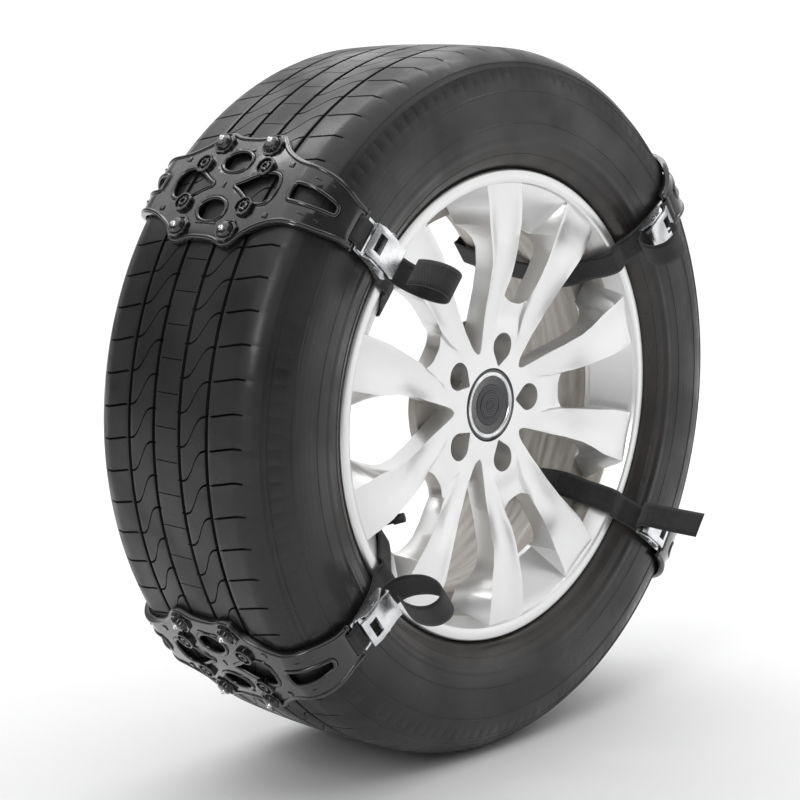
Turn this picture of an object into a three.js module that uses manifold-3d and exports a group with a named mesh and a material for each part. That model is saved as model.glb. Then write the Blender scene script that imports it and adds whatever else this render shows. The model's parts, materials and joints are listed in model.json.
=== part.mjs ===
// A car wheel with a tubeless tyre, fitted with four strap-on snow grip pads.
// Each pad lies across the tread and is held by webbing that runs round the rim
// and back through a cam buckle on the outer sidewall.
//
// Millimetres. +Z is up and the wheel's axle is along Y, with the street side at -Y.
// The origin is the centre of the hub seat, the face that meets the car's hub.
// Pieces are built about the rim's centre plane, and the assembly is moved along Y
// by the wheel's offset at the end.

import * as THREE from "three";
import { mergeVertices } from "three/addons/utils/BufferGeometryUtils.js";
import Module from "manifold-3d";

const wasm = await Module();
wasm.setup();

// ---- Driving dimensions -------------------------------------------------------------

const GAP = 0.3; // between pieces that touch
const FINE = 40; // facets round the wheel

// Tyre, 215 mm section, 60 series, for a 16 inch rim.
const TYRE_RADIUS = 332;
const SECTION_WIDTH = 221;
const TREAD_WIDTH = 156;
const CROWN_DROP = 3;
const TREAD_WALL = 13;
const SIDEWALL = 9.5;
const WIDEST_AT = 55; // height of the widest place above the rim's flange
const CONTACT_SQUASH = 1.6; // how far the tyre flattens on the ground
const GROOVES = [-48.5, -16, 16, 48.5]; // places across the tread
const GROOVE_WIDTH = 4.5;
const GROOVE_DEPTH = 7;

// Rim, 6.5 inch wide, and the wheel's disc.
const RIM_WIDTH = 165;
const BEAD_SEAT_RADIUS = 202.8;
const FLANGE_HEIGHT = 17.2;
const FLANGE_THICKNESS = 13.5;
const RIM_WALL = 5;
const WELL_DEPTH = 18.5;
const LIP_DEPTH = 13;
const WHEEL_OFFSET = 40; // from the hub seat inboard to the rim's centre plane
const HUB_RADIUS = 84;
const HUB_SEAT_RADIUS = 74;
const HUB_BORE_RADIUS = 28.5;
const HUB_CORE_RADIUS = 8; // turned solids start here, inside the bore
const HUB_HEIGHT = 38; // from the hub seat out to the disc's face
const CAP_RADIUS = 34;
const CAP_THICKNESS = 6;
const CAP_FACETS = 24;
const CAP_PROUD = 0.5;
const DISC_THICKNESS = 24;
const LUG_CIRCLE_RADIUS = 56;
const LUG_COUNT = 5;
const LUG_HOLE_RADIUS = 7.4;
const LUG_POCKET_RADIUS = 13;
const LUG_SEAT_THICKNESS = 12;
const LUG_POD_RADIUS = 24;
const FIRST_LUG_ANGLE = 1;
const SPOKE_SPREAD = 17; // degrees each side of its lug hole, at the rim
const SPOKE_ROOT_SPREAD = 18.5;
const SPOKE_ROOT_WIDTH = 25;
const SPOKE_WAIST_WIDTH = 38;
const SPOKE_TIP_WIDTH = 53;
const SPOKE_TIP_RELIEF = 0.4; // keeps a faceted tip clear of the rim

// Tyre valve.
const VALVE_ANGLE = 210.5;
const VALVE_RADIUS = 5.6;
const VALVE_LENGTH = 30;
const VALVE_CAP_RADIUS = 4.4;
const VALVE_CAP_LENGTH = 11;
const VALVE_FACETS = 14;
const VALVE_LEAN = 125; // degrees from straight out, towards the street side

// Snow grip units.
const UNITS = [
  { name: "upper_right", angle: 37, tail: "upright_loop" },
  { name: "upper_left", angle: 140.7, tail: "curl" },
  { name: "lower_left", angle: 217.3, tail: "open_loop" },
  { name: "lower_right", angle: 325, tail: "straight" },
];

// Grip pad.
const PAD_CLEARANCE = 0.9;
const PAD_FACETS = 60; // round the whole wheel
const PAD_SIDE_STEPS = 8; // over each shoulder
const PAD_THICKNESS = 4.5;
const PAD_REACH = 141; // from the tread's middle to the ear's end, along the tyre
const EAR_LIFT = 2.1; // extra room for webbing under the ear's end
const EAR_THICKNESS = 3.6;
const BOSS_RADIUS = 11.5;
const BOSS_HEIGHT = 7;
const STUD_ACROSS = 29.5; // stud places along the axle
const STUD_ALONG = 44; // and along the tread
const EAR_HALF_WIDTH = 20.5;
const EAR_SLOT_LENGTH = 46;
const EAR_SLOT_WIDTH = 19;
const END_BAR = 3.4; // the bar that the webbing loops round
const END_SLOT_SLACK = 1;
const STUD_RADIUS = 2.6;
const STUD_LENGTH = 7.5;
const STUD_TIP_RADIUS = 1.4;
const STUD_TIP_LENGTH = 1.6;
const STUD_CORNERS = [[1, -1], [1, 1], [-1, 1], [-1, -1]]; // along the tread, along the axle
const STUD_SEAT_DEPTH = 5.5; // how far a stud is let into its boss
const BOSS_SINK = 1; // the bosses' feet are let into the curved plate
const EAR_SLOT_PLACE = 22; // the slot's middle, past the tread's edge
const EAR_SLOT_TILT = 42; // degrees, square to the shoulder

// Webbing.
const WEBBING_WIDTH = 25;
const WEBBING_THICKNESS = 1.5;
const WEBBING_GAP = 0.4;

// Cam buckle.
const BUCKLE_RADIUS = 257; // its middle, from the axle
const BUCKLE_WIDTH = 33;
const BUCKLE_LENGTH = 44;
const BUCKLE_PLATE = 1.5;
const BUCKLE_STANDOFF = 5.1; // from the tyre's widest plane to the plate's underside
const BUCKLE_SLOTS = {
  anchor: { middle: 16, width: 5.5 },
  strap: { middle: 5, width: 6.5 },
};
const BUCKLE_SLOT_SLACK = 1.4;
const CHEEK_THICKNESS = 1.5;
const CHEEK_HEIGHT = 10;
const PIN_RADIUS = 1.5;
const PIN_CLEARANCE = 0.25;
const PIN_HEIGHT = 7.5;
const PIN_PLACE = -4;
const PIN_HEAD_RADIUS = 2.5;
const PIN_HEAD_LENGTH = 1;
const LEVER_HUB_RADIUS = 3.6;
const LEVER_THICKNESS = 2;
const LEVER_SIDE_GAP = 0.5;
const LEVER_WINDOW = { width: 17, length: 9.5, middle: 10.5 };
const SPRING_COIL_RADIUS = 3.2;
const SPRING_LENGTH = 6;

// ---- Values that follow from them ---------------------------------------------------

const HALF_RIM = RIM_WIDTH / 2;
const HALF_SECTION = SECTION_WIDTH / 2;
const HALF_TREAD = TREAD_WIDTH / 2;
const FLANGE_RADIUS = BEAD_SEAT_RADIUS + FLANGE_HEIGHT;
const FLANGE_FACE = HALF_RIM + FLANGE_THICKNESS;
const WIDEST_RADIUS = FLANGE_RADIUS + WIDEST_AT;
const SHOULDER_RADIUS = TYRE_RADIUS - CROWN_DROP;
const DISC_FACE = -(WHEEL_OFFSET + HUB_HEIGHT);
const LIP_RADIUS = FLANGE_RADIUS - LIP_DEPTH;
const WELL_RADIUS = BEAD_SEAT_RADIUS - WELL_DEPTH;
const BUCKLE_UNDERSIDE = HALF_SECTION + BUCKLE_STANDOFF;
const DISC_BACK = DISC_FACE + DISC_THICKNESS;
const LUG_STEP = 360 / LUG_COUNT;
const LOWEST_SIDEWALL = [HALF_RIM + 11, FLANGE_RADIUS + 2.5];
const END_SLOT_WIDTH = WEBBING_THICKNESS + 2 * WEBBING_GAP + END_SLOT_SLACK;
const STUD_BASE = PAD_CLEARANCE + PAD_THICKNESS + BOSS_HEIGHT - BOSS_SINK - STUD_SEAT_DEPTH;
const HALF_WEB = WEBBING_THICKNESS / 2;
const LOW_LIFT = WEBBING_GAP + HALF_WEB; // webbing that lies on the tyre
const HIGH_LIFT = LOW_LIFT + WEBBING_THICKNESS + WEBBING_GAP; // webbing over that
const OVER_EAR = HALF_SECTION + PAD_CLEARANCE + EAR_LIFT + EAR_THICKNESS + LOW_LIFT;
const UNDER_PLATE = BUCKLE_UNDERSIDE - LOW_LIFT;
const OVER_PLATE = BUCKLE_UNDERSIDE + BUCKLE_PLATE + LOW_LIFT;
const LEVER_WIDTH = BUCKLE_WIDTH - 2 * CHEEK_THICKNESS - 2 * LEVER_SIDE_GAP;
const LEVER_TOP = PIN_HEIGHT + LEVER_HUB_RADIUS + LEVER_THICKNESS - 1;
const DEGREE = Math.PI / 180;

const FINISH = {
  rubber: { color: 0x2b2b2c, roughness: 0.75, metalness: 0 },
  alloy: { color: 0xcfd0d2, roughness: 0.3, metalness: 0.9 },
  plastic: { color: 0x131315, roughness: 0.2, metalness: 0 },
  steel: { color: 0xc4c6c9, roughness: 0.2, metalness: 1 },
  webbing: { color: 0x1e1e20, roughness: 0.9, metalness: 0 },
};

// ---- Solids -------------------------------------------------------------------------

function solidOf(geometry) {
  const bare = geometry.clone();
  bare.deleteAttribute("normal");
  bare.deleteAttribute("uv");
  const merged = mergeVertices(bare);
  const vertProperties = merged.attributes.position.array;
  const triVerts = new Uint32Array(merged.index.array);
  return new wasm.Manifold(new wasm.Mesh({ numProp: 3, vertProperties, triVerts }));
}

function geometryOf(solid) {
  const mesh = solid.getMesh();
  const geometry = new THREE.BufferGeometry();
  geometry.setAttribute("position", new THREE.BufferAttribute(mesh.vertProperties, 3));
  geometry.setIndex(new THREE.BufferAttribute(mesh.triVerts, 1));
  geometry.computeVertexNormals();
  return geometry;
}

function piece(name, finish, solid) {
  const material = new THREE.MeshStandardMaterial(FINISH[finish]);
  const mesh = new THREE.Mesh(geometryOf(solid), material);
  mesh.name = name;
  return mesh;
}

// Points are [place along the axle, radius]; the outline closes on itself.
function turned(points, facets = FINE) {
  const outline = points.map(([y, r]) => new THREE.Vector2(r, y));
  const ordered = THREE.ShapeUtils.isClockWise(outline) ? outline.reverse() : outline;
  return solidOf(new THREE.LatheGeometry([...ordered, ordered[0].clone()], facets));
}

function extruded(shape, depth, curveSegments = 3) {
  return new THREE.ExtrudeGeometry(shape, { depth, bevelEnabled: false, curveSegments });
}

function shapeOf(points) {
  return new THREE.Shape(points.map(([u, v]) => new THREE.Vector2(u, v)));
}

// An outline seen across the unit, as [axial, radial], made into a bar of a width along X.
const SIDE_ON = new THREE.Matrix4().makeBasis(
  new THREE.Vector3(0, 1, 0),
  new THREE.Vector3(0, 0, 1),
  new THREE.Vector3(1, 0, 0),
);

function bar(points, width) {
  const geometry = extruded(shapeOf(points), width).translate(0, 0, -width / 2);
  return solidOf(geometry.applyMatrix4(SIDE_ON));
}

function box(width, length, height, x, y, z) {
  return solidOf(new THREE.BoxGeometry(width, length, height).translate(x, y, z));
}

function rod(radius, length, facets) {
  return new THREE.CylinderGeometry(radius, radius, length, facets);
}

function roundedSlot(length, width) {
  const r = width / 2;
  const reach = length / 2 - r;
  const shape = new THREE.Shape();
  shape.absarc(0, reach, r, 0, Math.PI);
  shape.absarc(0, -reach, r, Math.PI, 2 * Math.PI);
  return shape;
}

// ---- The tyre's outside, which the pads and straps follow ---------------------------

function quarter(from, to, steps, startsAxial) {
  const points = [];
  for (let i = 1; i <= steps; i += 1) {
    const t = (i / steps) * (Math.PI / 2);
    const a = startsAxial ? Math.sin(t) : 1 - Math.cos(t);
    const b = startsAxial ? 1 - Math.cos(t) : Math.sin(t);
    points.push([from[0] + (to[0] - from[0]) * a, from[1] + (to[1] - from[1]) * b]);
  }
  return points;
}

function tyreSide(crownSteps, sideSteps, lowerSteps) {
  const points = [];
  for (let i = 0; i <= crownSteps; i += 1) {
    const y = (i / crownSteps) * HALF_TREAD;
    points.push([y, TYRE_RADIUS - CROWN_DROP * (y / HALF_TREAD) ** 2]);
  }
  const shoulder = [HALF_TREAD, SHOULDER_RADIUS];
  const widest = [HALF_SECTION, WIDEST_RADIUS];
  points.push(...quarter(shoulder, widest, sideSteps, true));
  points.push(...quarter(widest, LOWEST_SIDEWALL, lowerSteps, false));
  return points;
}

const SIDE_CURVE = tyreSide(12, 24, 16);

// The place at a length along the tyre's outside from the tread's middle, lifted off it.
function onTyre(length, lift) {
  let left = length;
  for (let i = 1; i < SIDE_CURVE.length; i += 1) {
    const [y0, r0] = SIDE_CURVE[i - 1];
    const [y1, r1] = SIDE_CURVE[i];
    const step = Math.hypot(y1 - y0, r1 - r0);
    if (left <= step || i === SIDE_CURVE.length - 1) {
      const t = left / step;
      const normal = [(r0 - r1) / step, (y1 - y0) / step];
      return [y0 + (y1 - y0) * t + normal[0] * lift, r0 + (r1 - r0) * t + normal[1] * lift];
    }
    left -= step;
  }
  return SIDE_CURVE.at(-1);
}

// The length along the tyre at which its lower half passes a radius.
function lengthAt(radius) {
  let length = 0;
  for (let i = 1; i < SIDE_CURVE.length; i += 1) {
    const [y0, r0] = SIDE_CURVE[i - 1];
    const [y1, r1] = SIDE_CURVE[i];
    if (r1 <= radius) return length + Math.hypot(y1 - y0, r0 - radius);
    length += Math.hypot(y1 - y0, r1 - r0);
  }
  return length;
}

const street = ([y, r]) => [-y, r];

// ---- Wheel --------------------------------------------------------------------------

function grooved(points) {
  const cut = (y) => GROOVES.some((g) => Math.abs(y - g) < GROOVE_WIDTH / 2 + 1);
  const kept = points.filter(([y]) => Math.abs(y) > HALF_TREAD || !cut(y));
  for (const groove of GROOVES) {
    const top = TYRE_RADIUS - CROWN_DROP * (groove / HALF_TREAD) ** 2;
    const half = GROOVE_WIDTH / 2;
    kept.push([groove - half, top], [groove, top - GROOVE_DEPTH], [groove + half, top]);
  }
  return kept.sort((a, b) => a[0] - b[0]);
}

function tyre() {
  const side = tyreSide(1, 6, 3);
  const tread = side.filter(([y]) => y <= HALF_TREAD);
  const wall = side.filter(([y, r]) => y > HALF_TREAD || r < SHOULDER_RADIUS - 1);
  const crown = grooved([...tread.slice(1).map(street), ...tread]);
  const heel = [HALF_RIM - GAP, FLANGE_RADIUS + 1];
  const seat = BEAD_SEAT_RADIUS + GAP;
  const bead = [
    heel,
    [heel[0], seat + 2.5],
    [heel[0] - 2.5, seat],
    [heel[0] - 18, seat],
  ];
  const inWide = [HALF_SECTION - SIDEWALL, WIDEST_RADIUS];
  const inCrown = [HALF_TREAD - 8, TYRE_RADIUS - TREAD_WALL - 3];
  const inBead = [heel[0] - 13, BEAD_SEAT_RADIUS + 14];
  const lining = [inBead, ...quarter(inWide, inBead, 2, false).slice(0, 1), inWide];
  const roof = [...quarter(inCrown, inWide, 3, true).slice(0, 2).reverse(), inCrown];
  const half = [...wall, ...bead, ...lining, ...roof];
  const other = half.map(street).reverse();
  const body = turned([...crown, ...half, [0, TYRE_RADIUS - TREAD_WALL], ...other]);
  const ground = TYRE_RADIUS - CONTACT_SQUASH;
  const span = 2 * TYRE_RADIUS;
  return body.subtract(box(span, span, span, 0, 0, -ground - span / 2));
}

// The rim's inner face, as [axial, radius], from the street lip inwards.
const INNER_FACE = [
  [-FLANGE_FACE, LIP_RADIUS + 2],
  [-FLANGE_FACE + 3, LIP_RADIUS],
  [-HALF_RIM + 4, BEAD_SEAT_RADIUS - RIM_WALL + 1],
  [-HALF_RIM + 22, BEAD_SEAT_RADIUS - RIM_WALL - 1],
  [-HALF_RIM + 31, WELL_RADIUS - RIM_WALL],
];

function rimBarrel() {
  const bead = BEAD_SEAT_RADIUS;
  const flange = [
    [HALF_RIM, bead + 1.5],
    [HALF_RIM, FLANGE_RADIUS - 1],
    [HALF_RIM + 1.5, FLANGE_RADIUS],
    [FLANGE_FACE - 2, FLANGE_RADIUS],
    [FLANGE_FACE, FLANGE_RADIUS - 2],
  ];
  const seat = [
    [HALF_RIM - 25, bead],
    [HALF_RIM - 1.5, bead],
  ];
  const outside = [
    ...[...seat, ...flange].map(street).reverse(),
    [-HALF_RIM + 36, WELL_RADIUS],
    [-HALF_RIM + 62, WELL_RADIUS],
    [-HALF_RIM + 90, bead - 5],
    ...seat,
    ...flange,
  ];
  const inside = [
    [FLANGE_FACE, LIP_RADIUS + 2],
    [FLANGE_FACE - 3, LIP_RADIUS],
    [HALF_RIM - 2, bead - RIM_WALL],
    [-HALF_RIM + 92, bead - RIM_WALL - 5],
    [-HALF_RIM + 63, WELL_RADIUS - RIM_WALL],
    ...[...INNER_FACE].reverse(),
  ];
  return turned([...outside, ...inside]);
}

// The middle of the disc, out to where the spokes start.
function hubEnvelope() {
  return turned([
    [DISC_FACE - 1, HUB_CORE_RADIUS],
    [DISC_FACE - 1.5, HUB_RADIUS],
    [DISC_BACK, HUB_RADIUS],
    [DISC_BACK, HUB_CORE_RADIUS],
  ]);
}

// The ring that the spokes are cut from: its face leans out to the rim's lip.
function spokeEnvelope() {
  const inner = HUB_RADIUS + GAP;
  const tip = INNER_FACE.slice(1, 4).map(([y, r]) => [y, r - GAP - SPOKE_TIP_RELIEF]);
  return turned([
    [DISC_FACE - 1.5, inner],
    [DISC_FACE - 4, inner + 50],
    [-FLANGE_FACE + 5, tip[0][1] - 2],
    ...tip.slice(1),
    [tip[2][0] + 6, tip[2][1] - 26],
    [DISC_BACK, inner],
  ]);
}

// A spoke's plan seen along the axle, as a prism through the whole disc.
function spokePlan(lugAngle, side) {
  const rim = (lugAngle + side * SPOKE_SPREAD) * DEGREE;
  const root = (lugAngle + side * SPOKE_ROOT_SPREAD) * DEGREE;
  const waist = (lugAngle + side * (SPOKE_SPREAD - 1.5)) * DEGREE;
  const stations = [
    [LUG_CIRCLE_RADIUS - 12, root, SPOKE_ROOT_WIDTH / 2],
    [HUB_RADIUS, root, SPOKE_ROOT_WIDTH / 2],
    [(HUB_RADIUS + LIP_RADIUS) / 2, waist, SPOKE_WAIST_WIDTH / 2],
    [LIP_RADIUS + 6, rim, SPOKE_TIP_WIDTH / 2],
  ];
  const edge = (sign) =>
    stations.map(([r, a, w]) => [
      r * Math.cos(a) - sign * w * Math.sin(a),
      r * Math.sin(a) + sign * w * Math.cos(a),
    ]);
  return prism(shapeOf([...edge(-1), ...edge(1).reverse()]));
}

// A prism along the axle of an outline drawn in X and Z, through all of the disc.
function prism(shape) {
  const depth = FLANGE_FACE + 5;
  return solidOf(extruded(shape, depth).rotateX(Math.PI / 2));
}

// A round bar along the axle, between two places.
function axial(radius, from, to, facets, [x, z] = [0, 0]) {
  return solidOf(rod(radius, to - from, facets).translate(x, (from + to) / 2, z));
}

function hub() {
  const seat = -WHEEL_OFFSET;
  const front = DISC_FACE - 5;
  const capFloor = DISC_FACE + CAP_THICKNESS + GAP;
  const pocketFloor = seat - LUG_SEAT_THICKNESS;
  let plan = axial(CAP_RADIUS + 7, front, seat, 20);
  let holes = axial(HUB_BORE_RADIUS, front, 5, CAP_FACETS);
  holes = holes.add(axial(CAP_RADIUS + GAP, front, capFloor, CAP_FACETS));
  for (let lug = 0; lug < LUG_COUNT; lug += 1) {
    const angle = FIRST_LUG_ANGLE + LUG_STEP * lug;
    const turn = angle * DEGREE;
    const place = [LUG_CIRCLE_RADIUS * Math.cos(turn), LUG_CIRCLE_RADIUS * Math.sin(turn)];
    plan = plan.add(axial(LUG_POD_RADIUS, front, seat, 12, place));
    plan = plan.add(spokePlan(angle, 1)).add(spokePlan(angle, -1));
    holes = holes.add(axial(LUG_HOLE_RADIUS, front, 5, 8, place));
    holes = holes.add(axial(LUG_POCKET_RADIUS, front, pocketFloor, 10, place));
  }
  const star = hubEnvelope().intersect(plan);
  const joined = DISC_BACK - 2;
  const flange = [
    [seat, HUB_CORE_RADIUS],
    [seat, HUB_SEAT_RADIUS],
    [joined, HUB_SEAT_RADIUS + 4],
    [joined, HUB_CORE_RADIUS],
  ];
  return star.add(turned(flange, CAP_FACETS)).subtract(holes);
}

function spokes() {
  const envelope = spokeEnvelope();
  const pieces = [];
  for (let lug = 0; lug < LUG_COUNT; lug += 1) {
    for (const side of [-1, 1]) {
      const plan = spokePlan(FIRST_LUG_ANGLE + LUG_STEP * lug, side);
      const name = `spoke_${String(pieces.length + 1).padStart(2, "0")}`;
      pieces.push(piece(name, "alloy", envelope.intersect(plan)));
    }
  }
  return pieces;
}

function centreCap() {
  const face = DISC_FACE - CAP_PROUD;
  const back = DISC_FACE + CAP_THICKNESS;
  const skirt = HUB_BORE_RADIUS - 2;
  const outline = [
    [face + 1, 0],
    [face, CAP_RADIUS - 4],
    [face + 1.5, CAP_RADIUS],
    [back, CAP_RADIUS],
    [back, skirt],
    [back + 9, skirt],
    [back + 9, skirt - 3],
    [back - 2, skirt - 3],
    [back - 2, 0],
  ];
  return turned(outline, CAP_FACETS);
}

// The valve stands in the rim's slope near the street side, leaning to the axle.
function valveGroup() {
  const group = new THREE.Group();
  const seat = WELL_RADIUS + (BEAD_SEAT_RADIUS - WELL_RADIUS) / 2 - RIM_WALL - 5;
  group.position.set(0, -HALF_RIM + 22, seat);
  group.rotation.x = VALVE_LEAN * DEGREE;
  const half = VALVE_LENGTH / 2;
  const stem = upright(VALVE_RADIUS, half + 1, VALVE_FACETS);
  const neck = upright(VALVE_RADIUS * 0.55, half, VALVE_FACETS).translate(0, 0, half);
  group.add(piece("valve_stem", "rubber", solidOf(stem).add(solidOf(neck))));
  const cap = upright(VALVE_CAP_RADIUS, VALVE_CAP_LENGTH, VALVE_FACETS);
  group.add(piece("valve_cap", "plastic", solidOf(cap.translate(0, 0, VALVE_LENGTH + GAP))));
  const place = new THREE.Group();
  place.rotation.y = (90 - VALVE_ANGLE) * DEGREE;
  place.add(group);
  return place;
}

// ---- Grip pad: X runs along the tread, Z is outwards ---------------------------------

function padLift(length) {
  const along = THREE.MathUtils.smoothstep(length, HALF_TREAD, PAD_REACH - 22);
  return [PAD_CLEARANCE + EAR_LIFT * along, THREE.MathUtils.lerp(PAD_THICKNESS, EAR_THICKNESS, along)];
}

function padShell() {
  const lengths = [0, HALF_TREAD / 2];
  for (let i = 0; i <= PAD_SIDE_STEPS; i += 1) {
    lengths.push(HALF_TREAD + (i / PAD_SIDE_STEPS) * (PAD_REACH - HALF_TREAD));
  }
  const face = (share) => {
    const side = lengths.map((length) => {
      const [lift, thickness] = padLift(length);
      return onTyre(length, lift + share * thickness);
    });
    return [...side.slice(1).map(street).reverse(), ...side];
  };
  return turned([...face(1), ...face(0).reverse()], PAD_FACETS);
}

// Half of the pad's outline, as [along the tread, along the axle].
const PAD_EDGE = [
  [53, 0],
  [53.5, 12],
  [56.5, STUD_ACROSS - 6],
  [56.5, STUD_ACROSS + 4],
  [50, STUD_ACROSS + 13],
  [40, STUD_ACROSS + 25],
  [31, HALF_TREAD - 3],
  [28, HALF_TREAD + 16],
  [EAR_HALF_WIDTH + 3, HALF_SECTION - 2],
  [EAR_HALF_WIDTH, HALF_SECTION + 4],
  [EAR_HALF_WIDTH, HALF_SECTION + 30],
];

function padOutline() {
  const corners = [];
  for (const [sx, sy] of [[1, 1], [-1, 1], [-1, -1], [1, -1]]) {
    const side = PAD_EDGE.map(([x, y]) => [sx * x, sy * y]);
    corners.push(...(sx * sy > 0 ? side : side.reverse()));
  }
  const repeats = ([x, y], i) => i > 0 && x === corners[i - 1][0] && y === corners[i - 1][1];
  return shapeOf(corners.filter((corner, i) => !repeats(corner, i)).slice(0, -1));
}

function padWindows() {
  const cuts = [];
  for (const side of [-1, 1]) {
    const lens = new THREE.Shape();
    lens.moveTo(0, side * 11);
    lens.quadraticCurveTo(4, side * 22, 17, side * 40);
    lens.quadraticCurveTo(19, side * 50, 15, side * 58);
    lens.quadraticCurveTo(0, side * 66, -15, side * 58);
    lens.quadraticCurveTo(-19, side * 50, -17, side * 40);
    lens.quadraticCurveTo(-4, side * 22, 0, side * 11);
    const oval = new THREE.Shape();
    oval.absellipse(side * 22.5, 0, 11.5, 18, 0, 2 * Math.PI);
    cuts.push(lens, oval);
  }
  return cuts.map((shape) => solidOf(extruded(shape, 2 * TYRE_RADIUS, 2)));
}

// Puts a solid that stands on Z at a place on the tread.
function onTread(geometry, along, across) {
  return geometry.translate(0, across, TYRE_RADIUS).rotateY(along / TYRE_RADIUS);
}

function treadPad() {
  let pad = padShell().intersect(solidOf(extruded(padOutline(), 2 * TYRE_RADIUS)));
  padWindows().forEach((cut) => {
    pad = pad.subtract(cut);
  });
  const plateTop = PAD_CLEARANCE + PAD_THICKNESS;
  for (const [sx, sy] of STUD_CORNERS) {
    const foot = plateTop - PAD_THICKNESS + 1.5 - BOSS_SINK;
    const boss = upright(BOSS_RADIUS, BOSS_HEIGHT + 3, 8).translate(0, 0, foot);
    pad = pad.add(solidOf(onTread(boss, sx * STUD_ALONG, sy * STUD_ACROSS)));
    const hole = upright(STUD_RADIUS + GAP, STUD_LENGTH, 8).translate(0, 0, STUD_BASE);
    pad = pad.subtract(solidOf(onTread(hole, sx * STUD_ALONG, sy * STUD_ACROSS)));
  }
  for (const side of [1, -1]) {
    const [y, r] = onTyre(HALF_TREAD + EAR_SLOT_PLACE, 0);
    const slot = extruded(roundedSlot(EAR_SLOT_LENGTH, EAR_SLOT_WIDTH), 60).translate(0, 0, -20);
    slot.rotateX(-side * EAR_SLOT_TILT * DEGREE).translate(0, side * y, r);
    const slit = box(WEBBING_WIDTH + 2, 30, END_SLOT_WIDTH, 0, side * HALF_SECTION, slitMiddle());
    pad = pad.subtract(solidOf(slot)).subtract(slit);
  }
  return pad;
}

function upright(radius, height, facets) {
  return rod(radius, height, facets).rotateX(Math.PI / 2).translate(0, 0, height / 2);
}

// The middle of the slit that the webbing passes through, from the axle.
function slitMiddle() {
  return onTyre(PAD_REACH, PAD_CLEARANCE)[1] + END_BAR + END_SLOT_WIDTH / 2;
}

function stud(sx, sy) {
  const shank = upright(STUD_RADIUS, STUD_LENGTH - GAP, 8);
  const tip = upright(STUD_TIP_RADIUS, STUD_TIP_LENGTH + 1, 6).translate(0, 0, STUD_LENGTH - GAP - 1);
  const place = (geometry) => {
    const raised = geometry.translate(0, 0, STUD_BASE + GAP);
    return solidOf(onTread(raised, sx * STUD_ALONG, sy * STUD_ACROSS));
  };
  return place(shank).add(place(tip));
}

// ---- Webbing: routes are [axial, radial] in the unit's plane -------------------------

function band(route, thickness = WEBBING_THICKNESS) {
  const sides = [[], []];
  route.forEach((point, i) => {
    const before = route[Math.max(i - 1, 0)];
    const after = route[Math.min(i + 1, route.length - 1)];
    const into = new THREE.Vector2(point[0] - before[0], point[1] - before[1]).normalize();
    const out = new THREE.Vector2(after[0] - point[0], after[1] - point[1]).normalize();
    const along = into.clone().add(out).normalize();
    const leg = i === 0 ? out : into;
    const mitre = thickness / 2 / Math.max(along.dot(leg), 0.5);
    sides[0].push([point[0] - along.y * mitre, point[1] + along.x * mitre]);
    sides[1].push([point[0] + along.y * mitre, point[1] - along.x * mitre]);
  });
  return bar([...sides[0], ...sides[1].reverse()], WEBBING_WIDTH);
}

function sidewallRun(fromRadius, toRadius, lift, steps) {
  const start = lengthAt(fromRadius);
  const end = lengthAt(toRadius);
  const points = [];
  for (let i = 0; i <= steps; i += 1) {
    points.push(onTyre(start + ((end - start) * i) / steps, lift));
  }
  return points;
}

// The loop that ties the buckle's bar to the ear, with the guard tongue below it.
function anchorStrap() {
  const under = HALF_SECTION + LOW_LIFT;
  const slit = slitMiddle();
  const anchorSlot = BUCKLE_RADIUS + BUCKLE_SLOTS.anchor.middle;
  const over = Math.max(OVER_EAR, OVER_PLATE);
  const loop = band([
    [under, anchorSlot - 4],
    [under, slit],
    [over, slit],
    [over, anchorSlot],
    [under + 0.5, anchorSlot],
  ].map(street));
  const tongue = band([
    [under, anchorSlot + 2],
    [under, WIDEST_RADIUS - 6],
    ...sidewallRun(WIDEST_RADIUS - 12, FLANGE_RADIUS + 9, LOW_LIFT + 0.3, 3),
    [FLANGE_FACE + 3, FLANGE_RADIUS + 1],
    [FLANGE_FACE + LOW_LIFT, FLANGE_RADIUS - 3],
    [FLANGE_FACE + LOW_LIFT, LIP_RADIUS - 1],
    [FLANGE_FACE - 7, LIP_RADIUS - 7],
  ].map(street));
  return loop.add(tongue);
}

// Free ends beyond the buckle, as [outboard of the plate, outwards from the hub end].
const TAILS = {
  curl: [
    ...[[0, -6], [4, -15], [13, -25], [26, -33], [40, -36], [50, -32]],
    ...[[54, -24], [50, -16], [40, -11], [28, -9], [18, -10]],
  ],
  open_loop: [
    ...[[0, -6], [4, -14], [14, -21], [30, -25], [46, -23], [58, -16]],
    ...[[62, -6], [57, 3], [46, 7], [32, 6], [20, 1]],
  ],
  upright_loop: [
    ...[[0, -6], [5, -13], [14, -17], [24, -17], [32, -12]],
    ...[[36, -3], [35, 8], [29, 16], [21, 17]],
  ],
  straight: [[0, -6], [4, -11], [11, -13], [22, -12], [40, -10], [72, -9]],
};

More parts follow.
